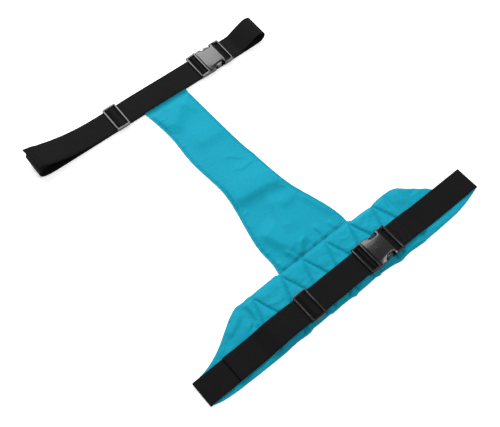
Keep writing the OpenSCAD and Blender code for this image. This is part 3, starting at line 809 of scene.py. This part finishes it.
# %% The right half
rh, re = right_loop_h - seat_under, seat_right - web_t / 2
seat_end_x = seat_buckle_x + socket_end
seat_bar = seat_end_x - wrap_out
right_path = (wrap_path(seat_bar, seat_z0, 1, wrap_out + 16 * MM, wrap_out) + through([
    (seat_end_x + 3 * MM, seat_z0 + high_z), (seat_end_x + 18 * MM, seat_z0 + high_z),
    (seat_end_x + 24 * MM, seat_z0 + high_z + 1 * MM), (re - 48 * MM, sz + rh * 0.42),
    (re - 30 * MM, sz + rh * 0.78), (re - 16 * MM, sz + rh * 0.96),
    (re - 4 * MM, sz + rh * 0.84), (re, sz + rh * 0.52), (re - 3 * MM, sz + rh * 0.22),
    (re - 14 * MM, sz + rh * 0.05), (re - 36 * MM, sz)])
    + [(seat_split + rest_gap, sz)])
seat_right_half = joined("seat_webbing_right_half", [ribbon("right", right_path)])
dress(tilt_to_seat(seat_right_half), webbing_finish)
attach(seat_right_half, "seat_socket")
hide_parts("seat_webbing_right")

# %% [markdown]
# ## The quilted band
#
# The band is two faces of cloth with foam between, quilted in a zigzag. A flat grid is cut
# to the band's outline, laid at the foam's height and pinned along every row of stitching.
# Cloth simulation then blows it up a little with a small slack, so the cloth swells
# between the rows. The back face is laid flat under it.


# %% The band's outline
def bezier(p0, p1, p2, p3, n=24):
    p = [np.array(q, float) for q in (p0, p1, p2, p3)]
    ts = [i / n for i in range(n + 1)]
    return [tuple((1 - t) ** 3 * p[0] + 3 * (1 - t) ** 2 * t * p[1]
                  + 3 * (1 - t) * t * t * p[2] + t ** 3 * p[3]) for t in ts]


wing_edge = bezier((quilt_half + 8 * MM, band_top), (quilt_half + 50 * MM, band_top - 6 * MM),
                   (quilt_half + 70 * MM, web_w / 2 + 6 * MM), (fold_x - 1 * MM, web_w / 2))
wing_foot = bezier((fold_x - 1 * MM, -web_w / 2), (fold_x - 20 * MM, -band_bottom + 4 * MM),
                   (fold_x - 50 * MM, -band_bottom), (fold_x - 80 * MM, -band_bottom))[::-1]
band_end = fold_x - 1.5 * MM
# how far the sewn edges stray from the frame's outline: (along the belt, up), in mm
foot_drift = [(-300, 0), (-250, 2), (-200, 1), (-165, 0.5), (-150, 1.5), (-134, 2), (-110, 0),
              (-99, 3), (-80, 2.5), (-60, 3), (-55, 1.2), (-30, 2), (-8, 1), (-3, -1.6), (4, 0.5),
              (30, 1), (50, 1.8), (56, -0.5), (62, 1.2), (72, 0.5), (85, -1), (92, -1.8),
              (98, -3.8), (108, -5), (118, -3.2), (130, -2.5), (150, -4.2), (165, -5.2),
              (171, -4.2), (200, -4), (240, -3), (270, -1.5), (300, 0)]
top_drift = [(-290, 0), (-240, 0.5), (-210, 0.5), (-190, 1.6), (-178, 3.2), (-160, 2), (-150, 3.6),
             (-143, 2.2), (-120, 3), (-95, 3.2), (-86, 4), (-82, 1), (-78, 0), (80, 0), (84, 1.5),
             (88, -1.5), (92, -4), (115, -4), (132, -5.2), (139, -6.4), (144, -4.6), (158, -3),
             (178, -2.6), (192, 0), (203, 0), (214, -4), (226, -6), (236, -9), (245, -10),
             (250, -15), (256, -18), (270, -12), (290, -6), (312, 0)]
seam_wave = [(-83, 0), (-75, 0.8), (-66, -0.5), (-55, 0.6), (-40, -0.3), (-28, -1.6), (-18, 0.5),
             (-4, -0.6), (10, 0.6), (26, -1.3), (38, 0.5), (50, -0.2), (60, -0.9), (72, 0.5),
             (83, 0)]
seam_wave_scale = 1.4 * MM


def seam_stray(x):
    """How far the seam between band and panel waves up or down at x."""
    return seam_wave_scale * np.interp(x / MM, *zip(*seam_wave))


def band_sides(x):
    """The band's lower and upper edge at x, with the drift and scallops of sewn cloth."""
    a = np.abs(x)
    top = np.interp(a, [p[0] for p in wing_edge], [p[1] for p in wing_edge])
    foot = np.interp(a, [p[0] for p in wing_foot], [p[1] for p in wing_foot])
    foot = foot + MM * np.interp(x / MM, *zip(*foot_drift))
    top = top + MM * np.interp(x / MM, *zip(*top_drift))
    return foot, top + seam_stray(x)


quilt_pitch = 56 * MM
quilt_count = int(2 * (quilt_half - 24 * MM) / quilt_pitch) + 1
hand_drift = [-4.5, 4.5, -1, -3, -2, -1]
quilt_peaks = [(k - (quilt_count - 1) / 2) * quilt_pitch + hand_drift[k] * MM
               for k in range(quilt_count)]
quilt_peak_y = band_top - 8 * MM
quilt_lean = 0.27 * quilt_pitch * (quilt_peak_y + band_bottom) / (quilt_peak_y - 28 * MM)
quilt_rows = []
for peak in quilt_peaks:
    for side in (-1, 1):
        quilt_rows.append([(peak + side * 0.4 * MM, quilt_peak_y),
                           (peak + side * quilt_lean, -band_bottom + 5 * MM)])
end_rows = [[(side * x, -band_bottom + 4 * MM), (side * x, band_top - 6 * MM)]
            for side in (-1, 1) for x in (quilt_half + 2.5 * MM, quilt_half + 5.5 * MM)]
seam_row = [(-quilt_half - 6 * MM, band_top - 4 * MM), (quilt_half + 6 * MM, band_top - 4 * MM)]
foot_row = [(-quilt_half - 4 * MM, -band_bottom + 5 * MM),
            (quilt_half + 4 * MM, -band_bottom + 5 * MM)]
print(len(quilt_rows), "quilting rows,", quilt_count, "peaks")


# %% Distance to the rows
def distance_to(rows, x, y):
    """Each point's distance to the nearest row of stitching."""
    best = np.full(x.shape, 1.0)
    for row in rows:
        for (ax, ay), (bx, by) in zip(row, row[1:]):
            dx, dy = bx - ax, by - ay
            t = np.clip(((x - ax) * dx + (y - ay) * dy) / (dx * dx + dy * dy), 0, 1)
            best = np.minimum(best, np.hypot(x - ax - t * dx, y - ay - t * dy))
    return best


def fold_height(x, y, folds):
    """Height of soft folds. Each has a ridge in mm, a height, and how far it reaches left and
    right of the ridge's direction; it fades in and out along its length."""
    total = np.zeros(x.shape)
    for ridge, height, left_reach, right_reach in folds:
        points = np.array(ridge, float) * MM
        lengths = np.linalg.norm(np.diff(points, axis=0), axis=1)
        whole, before = lengths.sum(), 0.0
        best = np.full(x.shape, 1.0)
        side = np.zeros(x.shape)
        place = np.zeros(x.shape)
        for (ax, ay), (bx, by), length in zip(points, points[1:], lengths):
            dx, dy = (bx - ax) / length, (by - ay) / length
            t = np.clip((x - ax) * dx + (y - ay) * dy, 0, length)
            d = np.hypot(x - ax - t * dx, y - ay - t * dy)
            s = (y - ay) * dx - (x - ax) * dy
            nearer = d < best
            best = np.where(nearer, d, best)
            side = np.where(nearer, s, side)
            place = np.where(nearer, (before + t) / whole, place)
            before += length
        reach = np.where(side > 0, left_reach, right_reach) * MM
        fade = np.clip(np.minimum(place, 1 - place) / 0.22, 0, 1)
        total += height * MM * np.exp(-(best / reach) ** 2) * (0.15 + 0.85 * fade)
    return total


def relax_cloth(obj, pins, slack, pressure, frames=20):
    """Runs Blender's cloth on a sheet, with pinned points, and applies the result."""
    group = obj.vertex_groups.new(name="pin")
    for index, weight in enumerate(pins):
        if weight > 0:
            group.add([index], float(weight), "REPLACE")
    only(obj)
    cloth = obj.modifiers.new("cloth", "CLOTH")
    cloth.settings.quality = 6
    cloth.settings.mass = 0.12
    cloth.settings.tension_stiffness = 20
    cloth.settings.compression_stiffness = 20
    cloth.settings.shear_stiffness = 8
    cloth.settings.bending_stiffness = 0.06
    cloth.settings.air_damping = 4
    cloth.settings.vertex_group_mass = "pin"
    cloth.settings.shrink_min = -slack
    cloth.settings.use_pressure = pressure != 0
    cloth.settings.uniform_pressure_force = pressure
    cloth.settings.effector_weights.gravity = 0
    cloth.collision_settings.use_collision = False
    cloth.point_cache.frame_start = 1
    cloth.point_cache.frame_end = frames + 1
    for step in range(1, frames + 1):
        scene.frame_set(step)
    bpy.ops.object.modifier_apply(modifier="cloth")
    scene.frame_set(1)
    obj.vertex_groups.clear()


# %% The band's front face
def band_grid(name, columns=255, rows=47):
    """A grid cut to the band's outline, with its points' x and y and their edges' y."""
    obj, column, row = new_grid(name, columns, rows)
    x = -band_end + 2 * band_end * column / (columns - 1)
    foot, top = band_sides(x)
    return obj, x, foot + (top - foot) * row / (rows - 1), foot, top


front, x, y, foot, top = band_grid("band_front")
edge = np.minimum(np.minimum(y - foot, top - y), band_end - np.abs(x))
pad = ramp(quilt_half + 2 * MM - np.abs(x), 10 * MM)
pad *= ramp(edge, 9 * MM)
pad = eased(pad)
rim_z = 1.5 * MM
wing_z = wing_top - 0.6 * MM
at_seam = ramp(83 * MM - np.abs(x), 2 * MM)
rim = rim_z + 0.8 * MM * at_seam * (y > 0)
flat_z = rim + (wing_z - rim) * ramp(edge, 3 * MM) ** 0.5
rest = flat_z + (band_h - 0.6 * MM - wing_z) * pad
row_distance = distance_to(quilt_rows, x, y)
other_distance = distance_to(end_rows + [seam_row, foot_row], x, y)
# folds in the wings: the ridge's points, its height and its reach to each side, in mm
wing_folds = [
    ([(-176, 70), (-196, 58), (-226, 45)], 3.2, 5, 16), ([(-170, 44), (-190, 36)], 1.2, 4, 8),
    ([(204, 74), (190, 60), (180, 38)], 3.4, 16, 5), ([(236, 46), (214, 62)], 1.6, 6, 9),
    ([(262, 30), (240, 44)], 1.4, 5, 7), ([(196, 78), (193, 69)], 0.9, 2.2, 2.2),
    ([(201, 76), (198, 67)], 0.9, 2.2, 2.2), ([(-186, 76), (-183, 66)], 0.8, 2.5, 2.5)]
rng = np.random.default_rng(11)
pillow = 1 - np.exp(-row_distance / (5.5 * MM))
beside_row = 1 - np.exp(-other_distance / (3.5 * MM))
quilt_dip = 3.4 * MM
edge_dip = 1.6 * MM
unevenness = 0.05 * MM
rest = (rest - quilt_dip * (1 - pillow) * pad - edge_dip * (1 - beside_row) * pad
        + unevenness * rng.standard_normal(len(x)))
wing = ramp(np.abs(x) - quilt_half - 3 * MM, 8 * MM) * ramp(edge, 5 * MM)
rest = rest + wing * fold_height(x, y, wing_folds)
rest = rest + wing * 1.4 * MM * ramp(y - web_w / 2, 14 * MM)
lay_cloth(front, x, y, rest)
near_row = np.minimum(row_distance, other_distance) < 1.4 * MM
pins = np.where(near_row & (pad > 0.2) | (edge < 0.6 * MM), 1.0, 0.0)
relax_cloth(front, pins, slack=0.016, pressure=1.2)

# %% [markdown]
# The simulation is free to wander, so its result is held: a point may rise or sink by little
# more than a millimetre, and under the strap it may not come through the webbing.

# %% Hold the result to the foam
most_rise = 1.6 * MM
most_sink = 1.2 * MM
most_shift = 2 * MM
lowest = 1.2 * MM
co = points_of(front)
under_strap = ramp(web_w / 2 + 5 * MM - np.abs(co[:, 1]), 5 * MM)
strap_floor = np.array([lie_z(v, 0) for v in x]) - web_t / 2 - 0.15 * MM
ceiling = np.minimum(rest + most_rise, band_h + 2.2 * MM)
ceiling = ceiling * (1 - under_strap) + np.minimum(ceiling, strap_floor) * under_strap
ceiling = np.where(np.abs(y) < web_w / 2 + 1.5 * MM, np.minimum(ceiling, strap_floor), ceiling)
co[:, 2] = np.minimum(np.maximum(co[:, 2], rest - most_sink), ceiling)
co[:, 2] = np.maximum(co[:, 2], lowest)
co[:, 0] = np.clip(co[:, 0], x - most_shift, x + most_shift)
co[:, 1] = np.clip(co[:, 1], y - most_shift, y + most_shift)
set_points(front, co)
print("band front: rise", round(float((co[:, 2] - rest).max()) / MM, 2), "mm, sink",
      round(float((co[:, 2] - rest).min()) / MM, 2), "mm")

# %% The band's back face and its rim
back, x, y, foot, top = band_grid("band_back")
over_strap = eased(ramp(web_w / 2 + 3.5 * MM - np.abs(y), 3.5 * MM))
back_z = 0.25 * MM
lay_cloth(back, x, y, back_z + (web_t + 0.1 * MM - back_z) * over_strap)
only(front)
back.select_set(True)
bpy.ops.object.join()
bpy.ops.object.mode_set(mode="EDIT")
bpy.ops.mesh.select_all(action="DESELECT")
bpy.ops.mesh.select_mode(type="EDGE")
bpy.ops.mesh.select_non_manifold()
bpy.ops.mesh.bridge_edge_loops()
bpy.ops.mesh.select_all(action="SELECT")
bpy.ops.mesh.normals_make_consistent(inside=False)
bpy.ops.object.mode_set(mode="OBJECT")
band = front
band.name = "quilted_band"
finer = band.modifiers.new("finer", "SUBSURF")
finer.levels = finer.render_levels = 1
apply_all(band)

# %% [markdown]
# The grid is too coarse to follow a thread, so the narrow valley along each row is pressed
# into the finer mesh here, with small puckers on both sides of the quilting.

# %% Press in the rows
valley_w = 1.5 * MM
quilt_valley = 2.4
level_valley = 1.0
pucker_height = 0.14
co = points_of(band)
x, y = co[:, 0], co[:, 1]
foot, top = band_sides(x)
inside = ramp(np.minimum(y - foot, top - y), 5 * MM)
inside *= ramp(quilt_half + 1 * MM - np.abs(x), 6 * MM)
inside *= ramp(co[:, 2] - 2.8 * MM, 1 * MM)
from_quilting = distance_to(quilt_rows, x, y)
sewn = np.exp(-from_quilting / valley_w)
level = np.exp(-distance_to([seam_row, foot_row], x, y) / valley_w)
pucker = np.sin(y / 0.0011 + 2 * np.sin(y / 0.006 + x / 0.02))
around = np.exp(-(from_quilting / (4.5 * MM) - 0.6) ** 2 * 2.2)
open_air = ramp(np.abs(y) - web_w / 2 - 1 * MM, 2 * MM)
co[:, 2] -= inside * MM * (quilt_valley * sewn + level_valley * level)
co[:, 2] += inside * open_air * MM * pucker_height * pucker * around
set_points(band, co)
smooth(band, 60)
dress(band, cloth_finish)
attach(band, "band")
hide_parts("waist_front_cloth", "waist_back_cloth", "waist_padding")
print("band:", len(band.data.polygons), "faces")

# %% [markdown]
# ## The panel
#
# The panel is two layers of the same cloth, topstitched near its edges. It lies nearly flat,
# with soft creases across it and short gathers at the seam, and rises over the strap at its
# head. Each fold is placed as a ridge, because cloth keeps the folds that a hand left in it.
# A few frames of cloth simulation soften them, and the result is held close to that shape.
# The back layer lies under the same folds.

# %% The panel's outline
panel_y0 = band_top + 0.06 * MM
panel_foot, panel_neck = 82 * MM, 49.5 * MM
panel_flare = 205 * MM
sleeve_half = web_w / 2 + 1.5 * MM
sleeve_y0 = strap_spacing - sleeve_half - cloth_t
panel_y1 = strap_spacing + sleeve_half + 0.4 * MM
flare = bezier((panel_y0, panel_foot), (panel_y0 + panel_flare * 0.36, panel_foot - 1 * MM),
               (panel_y0 + panel_flare * 0.7, panel_neck + 4 * MM),
               (panel_y0 + panel_flare, panel_neck))
flare.append((sleeve_y0 - 10 * MM, panel_neck - 2 * MM))
flare.append((panel_y1, panel_neck - 2.5 * MM))


def panel_half(y):
    """Half the panel's width at y, as in the frame."""
    return np.interp(y, [p[0] for p in flare], [p[1] for p in flare])


# how far each edge strays to the right of the frame's outline: (up the panel, stray), in mm
left_drift = [(80, 3), (105, 6), (150, 1), (240, 2), (290, 0), (360, -5), (430, -1), (500, -7)]
right_drift = [(80, 3), (110, 3), (200, -5), (285, 0), (345, -4), (500, -5)]


def panel_side(y, side):
    """One edge of the panel. It drifts and waves, as cloth does that was laid down by hand."""
    drift = through(left_drift if side < 0 else right_drift, 4)
    return side * panel_half(y) + MM * np.interp(y / MM, *zip(*drift))


# %% The panel's front layer
columns, rows = 104, 300
panel, column, row = new_grid("panel_front_layer", columns, rows)
v = panel_y0 + (panel_y1 - panel_y0) * row / (rows - 1)
left, right = panel_side(v, -1), panel_side(v, 1)
u = left + (right - left) * column / (columns - 1)
v = v + np.tan(seat_tilt) * u * ramp(v - 0.3, 0.2)
v = v + seam_stray(u) * np.exp(-(v - panel_y0) / (9 * MM))
to_strap = v - strap_spacing - np.tan(seat_tilt) * u
rise = eased(ramp(to_strap + sleeve_half + 4 * MM, 5 * MM))
flat_level = 1.5 * MM
base = flat_level + (sleeve_top - cloth_t / 2 - flat_level) * rise
edge = np.minimum(u - left, right - u)
# the ridge's points, its height and its reach to each side, in mm
panel_folds = [
    ([(-64, 245), (-20, 238), (20, 233), (64, 222)], 7.8, 52, 15),
    ([(-22, 84), (-27, 102), (-38, 126), (-54, 168)], 7.6, 13, 32),
    ([(-24, 74), (-21, 88), (-10, 101), (8, 106)], 3.4, 4, 8),
    ([(-35, 74), (-36, 90), (-44, 108)], 2.6, 6, 3.5),
    ([(17, 210), (-2, 172), (-10, 124)], 4.2, 26, 11),
    ([(80, 104), (66, 150), (56, 182)], 3.2, 10, 10), ([(10, 178), (58, 186)], 2.0, 16, 8),
    ([(-44, 434), (-14, 458), (24, 486)], 5.6, 32, 18), ([(-58, 472), (-34, 466)], 1.2, 4, 2.2),
    ([(-56, 452), (-36, 448)], 1.0, 4, 2.2), ([(-6, 296), (10, 286), (44, 289)], 1.3, 10, 3),
    ([(-4, 330), (14, 318), (30, 300)], 1.1, 9, 3.5),
    ([(-30, 388), (4, 382), (44, 380)], 3.4, 34, 15),
    ([(30, 74), (34, 92), (30, 114)], 2.6, 4, 7), ([(62, 74), (56, 103)], 2.3, 3.5, 6),
    ([(-64, 74), (-67, 101)], 2.4, 3.5, 6), ([(7, 74), (11, 99)], 2.0, 3.5, 5),
    ([(-52, 206), (-40, 214)], 1.0, 3, 3), ([(48, 206), (38, 216)], 0.9, 3, 3),
    ([(-50, 400), (-38, 396)], 0.9, 3, 3), ([(40, 500), (22, 470), (26, 440)], 1.6, 9, 9),
    ([(-10, 500), (-22, 478)], 1.2, 6, 5), ([(-74, 120), (-60, 126)], 1.0, 3, 3)]
inner = eased(ramp(edge, 0.010))
puckers = 0.2 * MM * np.exp(-((edge - 4.5 * MM) / (3.5 * MM)) ** 2) * (
    np.sin(v / 0.0016 + 4.2 * np.sin(v / 0.013)) + np.sin(v / 0.0027 + 3 * np.sin(v / 0.021)))
free = ramp(-sleeve_half - 5 * MM - to_strap, 0.012) * ramp(v - panel_y0, 4 * MM)
broad = 0.8 * MM * (1 + np.sin(v / 0.031 + u / 0.022) * np.sin(u / 0.026 - v / 0.047))
lifted = fold_height(u, v, panel_folds) * (0.30 + 0.70 * inner) + broad * inner
shaped = base + free * (lifted + np.maximum(puckers, -0.25 * MM) + 0.3 * MM)
shaped = shaped + 0.12 * MM * rng.standard_normal(len(u)) * free
lay_cloth(panel, u, v, shaped)
held = (edge < 3 * MM) | (v < panel_y0 + 1 * MM) | (to_strap > -sleeve_half - 6 * MM)
relax_cloth(panel, np.where(held, 1.0, 0.55), slack=0.004, pressure=0.0, frames=8)

# %% Lay it on the surface
def finish_layer(obj):
    """Gives a laid sheet its thickness, a little under the full one, and its finish."""
    wall = obj.modifiers.new("layer", "SOLIDIFY")
    wall.thickness = cloth_t * 0.96
    wall.offset = 0
    apply_all(obj)
    smooth(obj, 60)
    dress(obj, cloth_finish)


most_change = 0.6 * MM
co = points_of(panel)
co[:, 2] = np.clip(co[:, 2], np.maximum(base, shaped - most_change), shaped + most_change)
set_points(panel, co)
print("panel: highest wrinkle", round(float((co[:, 2] - base).max()) / MM, 2), "mm")
finish_layer(panel)

# %% The panel's back layer
lining, _, _ = new_grid("panel_back_layer", columns, rows)
lay_cloth(lining, u, v, cloth_t / 2 + 0.95 * (lifted * free))
finish_layer(lining)
for piece, node in ((panel, "panel_front_cloth"), (lining, "panel_back_cloth")):
    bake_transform(piece)
    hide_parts(node)

# %% [markdown]
# ## Buckles and sliders
#
# Moulded parts keep the frame's exact shapes, because they have to fit each other. What a
# mould adds is a small radius on every edge. Each solid is copied, its loose triangles are
# merged and its flat faces made whole, and a bevel rounds what is left sharp.


# %% Moulded copies
SLIDER_RADIUS = 0.9 * MM


def moulded(node, body, radius=0.35 * MM):
    """A copy of a solid with rounded edges, which rides on its body and replaces its node."""
    obj = bpy.data.objects.new(node + "_moulded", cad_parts[node].data.copy())
    scene.collection.objects.link(obj)
    only(obj)
    bpy.ops.object.mode_set(mode="EDIT")
    bpy.ops.mesh.select_all(action="SELECT")
    bpy.ops.mesh.remove_doubles(threshold=0.002 * MM)
    bpy.ops.mesh.dissolve_limited(angle_limit=math.radians(0.6))
    bpy.ops.object.mode_set(mode="OBJECT")
    edge = obj.modifiers.new("mould_radius", "BEVEL")
    edge.width = radius
    edge.segments = 3
    edge.limit_method = "ANGLE"
    edge.angle_limit = math.radians(28)
    edge.use_clamp_overlap = True
    apply_all(obj)
    smooth(obj, 32)
    dress(obj, plastic_finish)
    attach(obj, body)
    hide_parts(node)
    return obj


plastic_parts = []
for belt, plug_body, socket_body in (("waist", "waist_plug", "band"),
                                     ("seat", "panel", "seat_socket")):
    plastic_parts.append(moulded(belt + "_buckle_socket", socket_body))
    plastic_parts.append(moulded(belt + "_buckle_plug", plug_body))
    plastic_parts.append(moulded(belt + "_prong_left", belt + "_prong_left"))
    plastic_parts.append(moulded(belt + "_prong_right", belt + "_prong_right"))
    plastic_parts.append(moulded(belt + "_slider", belt + "_slider", SLIDER_RADIUS))
print("plastic faces:", {p.name: len(p.data.polygons) for p in plastic_parts})

# %% [markdown]
# ## Stitching
#
# Every row is sewn in separate stitches about 3 mm long that sink at their ends. One stitch
# is modelled, then copied along each row, dropped onto the cloth below and turned to follow
# it, so the thread sits in the valleys along the rows.

# %% One stitch
STITCH_LENGTH = 2.5 * MM
STITCH_PITCH = 3.3 * MM
THREAD_PROUD = 0.12
DROP_FROM = 0.1
DOWN = Vector((0, 0, -1))
bpy.ops.object.select_all(action="DESELECT")
bpy.ops.mesh.primitive_uv_sphere_add(segments=8, ring_count=6, radius=0.5)
seed = bpy.context.object
bpy.ops.object.mode_set(mode="EDIT")
bpy.ops.mesh.select_all(action="SELECT")
bpy.ops.transform.resize(value=(STITCH_LENGTH, 0.75 * MM, 0.55 * MM))
bpy.ops.object.mode_set(mode="OBJECT")
stitch_points = points_of(seed)
stitch_faces = [tuple(f.vertices) for f in seed.data.polygons]
bpy.data.objects.remove(seed)
print("one stitch:", len(stitch_faces), "faces")


# %% Sewing along rows
def sew(name, rows, surface, finish, place=None):
    """Stitches along rows of (x, y), on top of a surface."""
    tree = BVHTree.FromObject(surface, bpy.context.evaluated_depsgraph_get())
    points, faces = [], []
    for row in rows:
        for (ax, ay), (bx, by) in zip(row, row[1:]):
            a, b = Vector((ax, ay)), Vector((bx, by))
            count = max(1, int((b - a).length / STITCH_PITCH))
            for k in range(count):
                middle = a.lerp(b, (k + 0.5) / count)
                here = Vector((middle.x, middle.y, 0))
                if place:
                    here = place(middle.x, middle.y)
                above = Vector((here.x, here.y, DROP_FROM))
                hit, normal, _, _ = tree.ray_cast(above, DOWN)
                if hit is None:
                    continue
                heading = Vector(((b - a).x, (b - a).y, 0)).normalized()
                if place:
                    heading.rotate(Matrix.Rotation(seat_tilt, 3, "Z"))
                ahead = (heading - normal * heading.dot(normal)).normalized()
                turn = Matrix((ahead, normal.cross(ahead), normal)).transposed()
                spot = hit + normal * THREAD_PROUD * MM
                first = len(points)
                points += [spot + turn @ Vector(q) for q in stitch_points]
                faces += [tuple(first + i for i in f) for f in stitch_faces]
    mesh = bpy.data.meshes.new(name)
    mesh.from_pydata(points, [], faces)
    obj = bpy.data.objects.new(name, mesh)
    scene.collection.objects.link(obj)
    smooth(obj, 80)
    dress(obj, finish)
    print(name, len(faces) // len(stitch_faces), "stitches")
    return obj


# %% Rows on the band
def inset_edge(side, amount, x0, x1, n=60):
    """A row of points inside the band's upper (1) or lower (-1) edge."""
    xs = np.linspace(x0, x1, n)
    foot, top = band_sides(xs)
    ys = top - amount if side > 0 else foot + amount
    return list(zip(xs.tolist(), ys.tolist()))


clear_of_strap = web_w / 2 + 2 * MM
above = []
for peak, foot in quilt_rows:
    climb = clear_of_strap + band_bottom - 5 * MM
    across = (peak[0] - foot[0]) * climb / (peak[1] - foot[1])
    above.append([peak, (foot[0] + across, clear_of_strap)])
quilting = sew("quilting_thread", above, band, teal_thread)
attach(quilting, "band")
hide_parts("quilting_stitch")
wing_clear = fold_x - 62 * MM
edge_rows = [[(r[0][0], clear_of_strap), r[1]] for r in end_rows]
edge_rows += [[(r[0][0], -clear_of_strap - 5 * MM), (r[0][0], -clear_of_strap)] for r in end_rows]
edge_rows += [inset_edge(1, 4 * MM, quilt_half + 8 * MM, wing_clear),
              inset_edge(1, 4 * MM, -wing_clear, -quilt_half - 8 * MM),
              inset_edge(1, 3 * MM, -quilt_half - 6 * MM, quilt_half + 6 * MM),
              inset_edge(-1, 3.4 * MM, -fold_x + 66 * MM, fold_x - 66 * MM, 120)]
band_thread = sew("band_edge_thread", edge_rows, band, teal_thread)
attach(band_thread, "band")
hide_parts("band_edge_stitch")


# %% Rows on the panel
def panel_row(side, inset, y0, y1, n=110):
    """A row of points inside the panel's right (1) or left (-1) edge."""
    ys = np.linspace(y0, y1, n)
    xs = panel_side(ys, side) - side * inset
    return list(zip(xs.tolist(), ys.tolist()))


side_rows = [panel_row(s, inset, panel_y0 + 7 * MM, sleeve_y0 - 12 * MM)
             for s in (-1, 1) for inset in (3 * MM, 5.5 * MM)]
panel_thread = sew("panel_edge_thread", side_rows, panel, teal_thread)
seam_rows = [[(-panel_foot + 6 * MM, panel_y0 + d), (panel_foot - 6 * MM, panel_y0 + d)]
             for d in (2.2 * MM, 5.4 * MM)]
seam_thread = sew("panel_seam_thread", seam_rows, panel, teal_thread)
for thread, node in ((panel_thread, "panel_edge_stitch"), (seam_thread, "panel_seam_stitch")):
    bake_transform(thread)
    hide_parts(node)
sleeve_rows = [[(-41 * MM, -sleeve_half - d), (41 * MM, -sleeve_half - d)]
               for d in (6 * MM, 9 * MM)]
sleeve_thread = sew("sleeve_thread", sleeve_rows, panel, teal_thread, seat_point)
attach(sleeve_thread, "panel")
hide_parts("sleeve_stitch")


# %% Box stitching on the sewn loops
def box_rows(x, half_x=7 * MM, half_y=20 * MM):
    """A rectangle with a cross inside, as rows."""
    c = [(x - half_x, -half_y), (x + half_x, -half_y), (x + half_x, half_y), (x - half_x, half_y)]
    return [c + [c[0]], [c[0], c[2]], [c[1], c[3]]]


waist_box = sew("waist_loop_thread", box_rows(waist_buckle_x + socket_end + 17 * MM),
                waist_fixed, black_thread)
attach(waist_box, "band")
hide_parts("waist_loop_stitch")
seat_box = sew("seat_loop_thread", box_rows(seat_end_x + 9 * MM), seat_right_half, black_thread,
               seat_point)
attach(seat_box, "seat_socket")
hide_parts("seat_loop_stitch")

# %% Update the scene
bpy.context.view_layer.update()
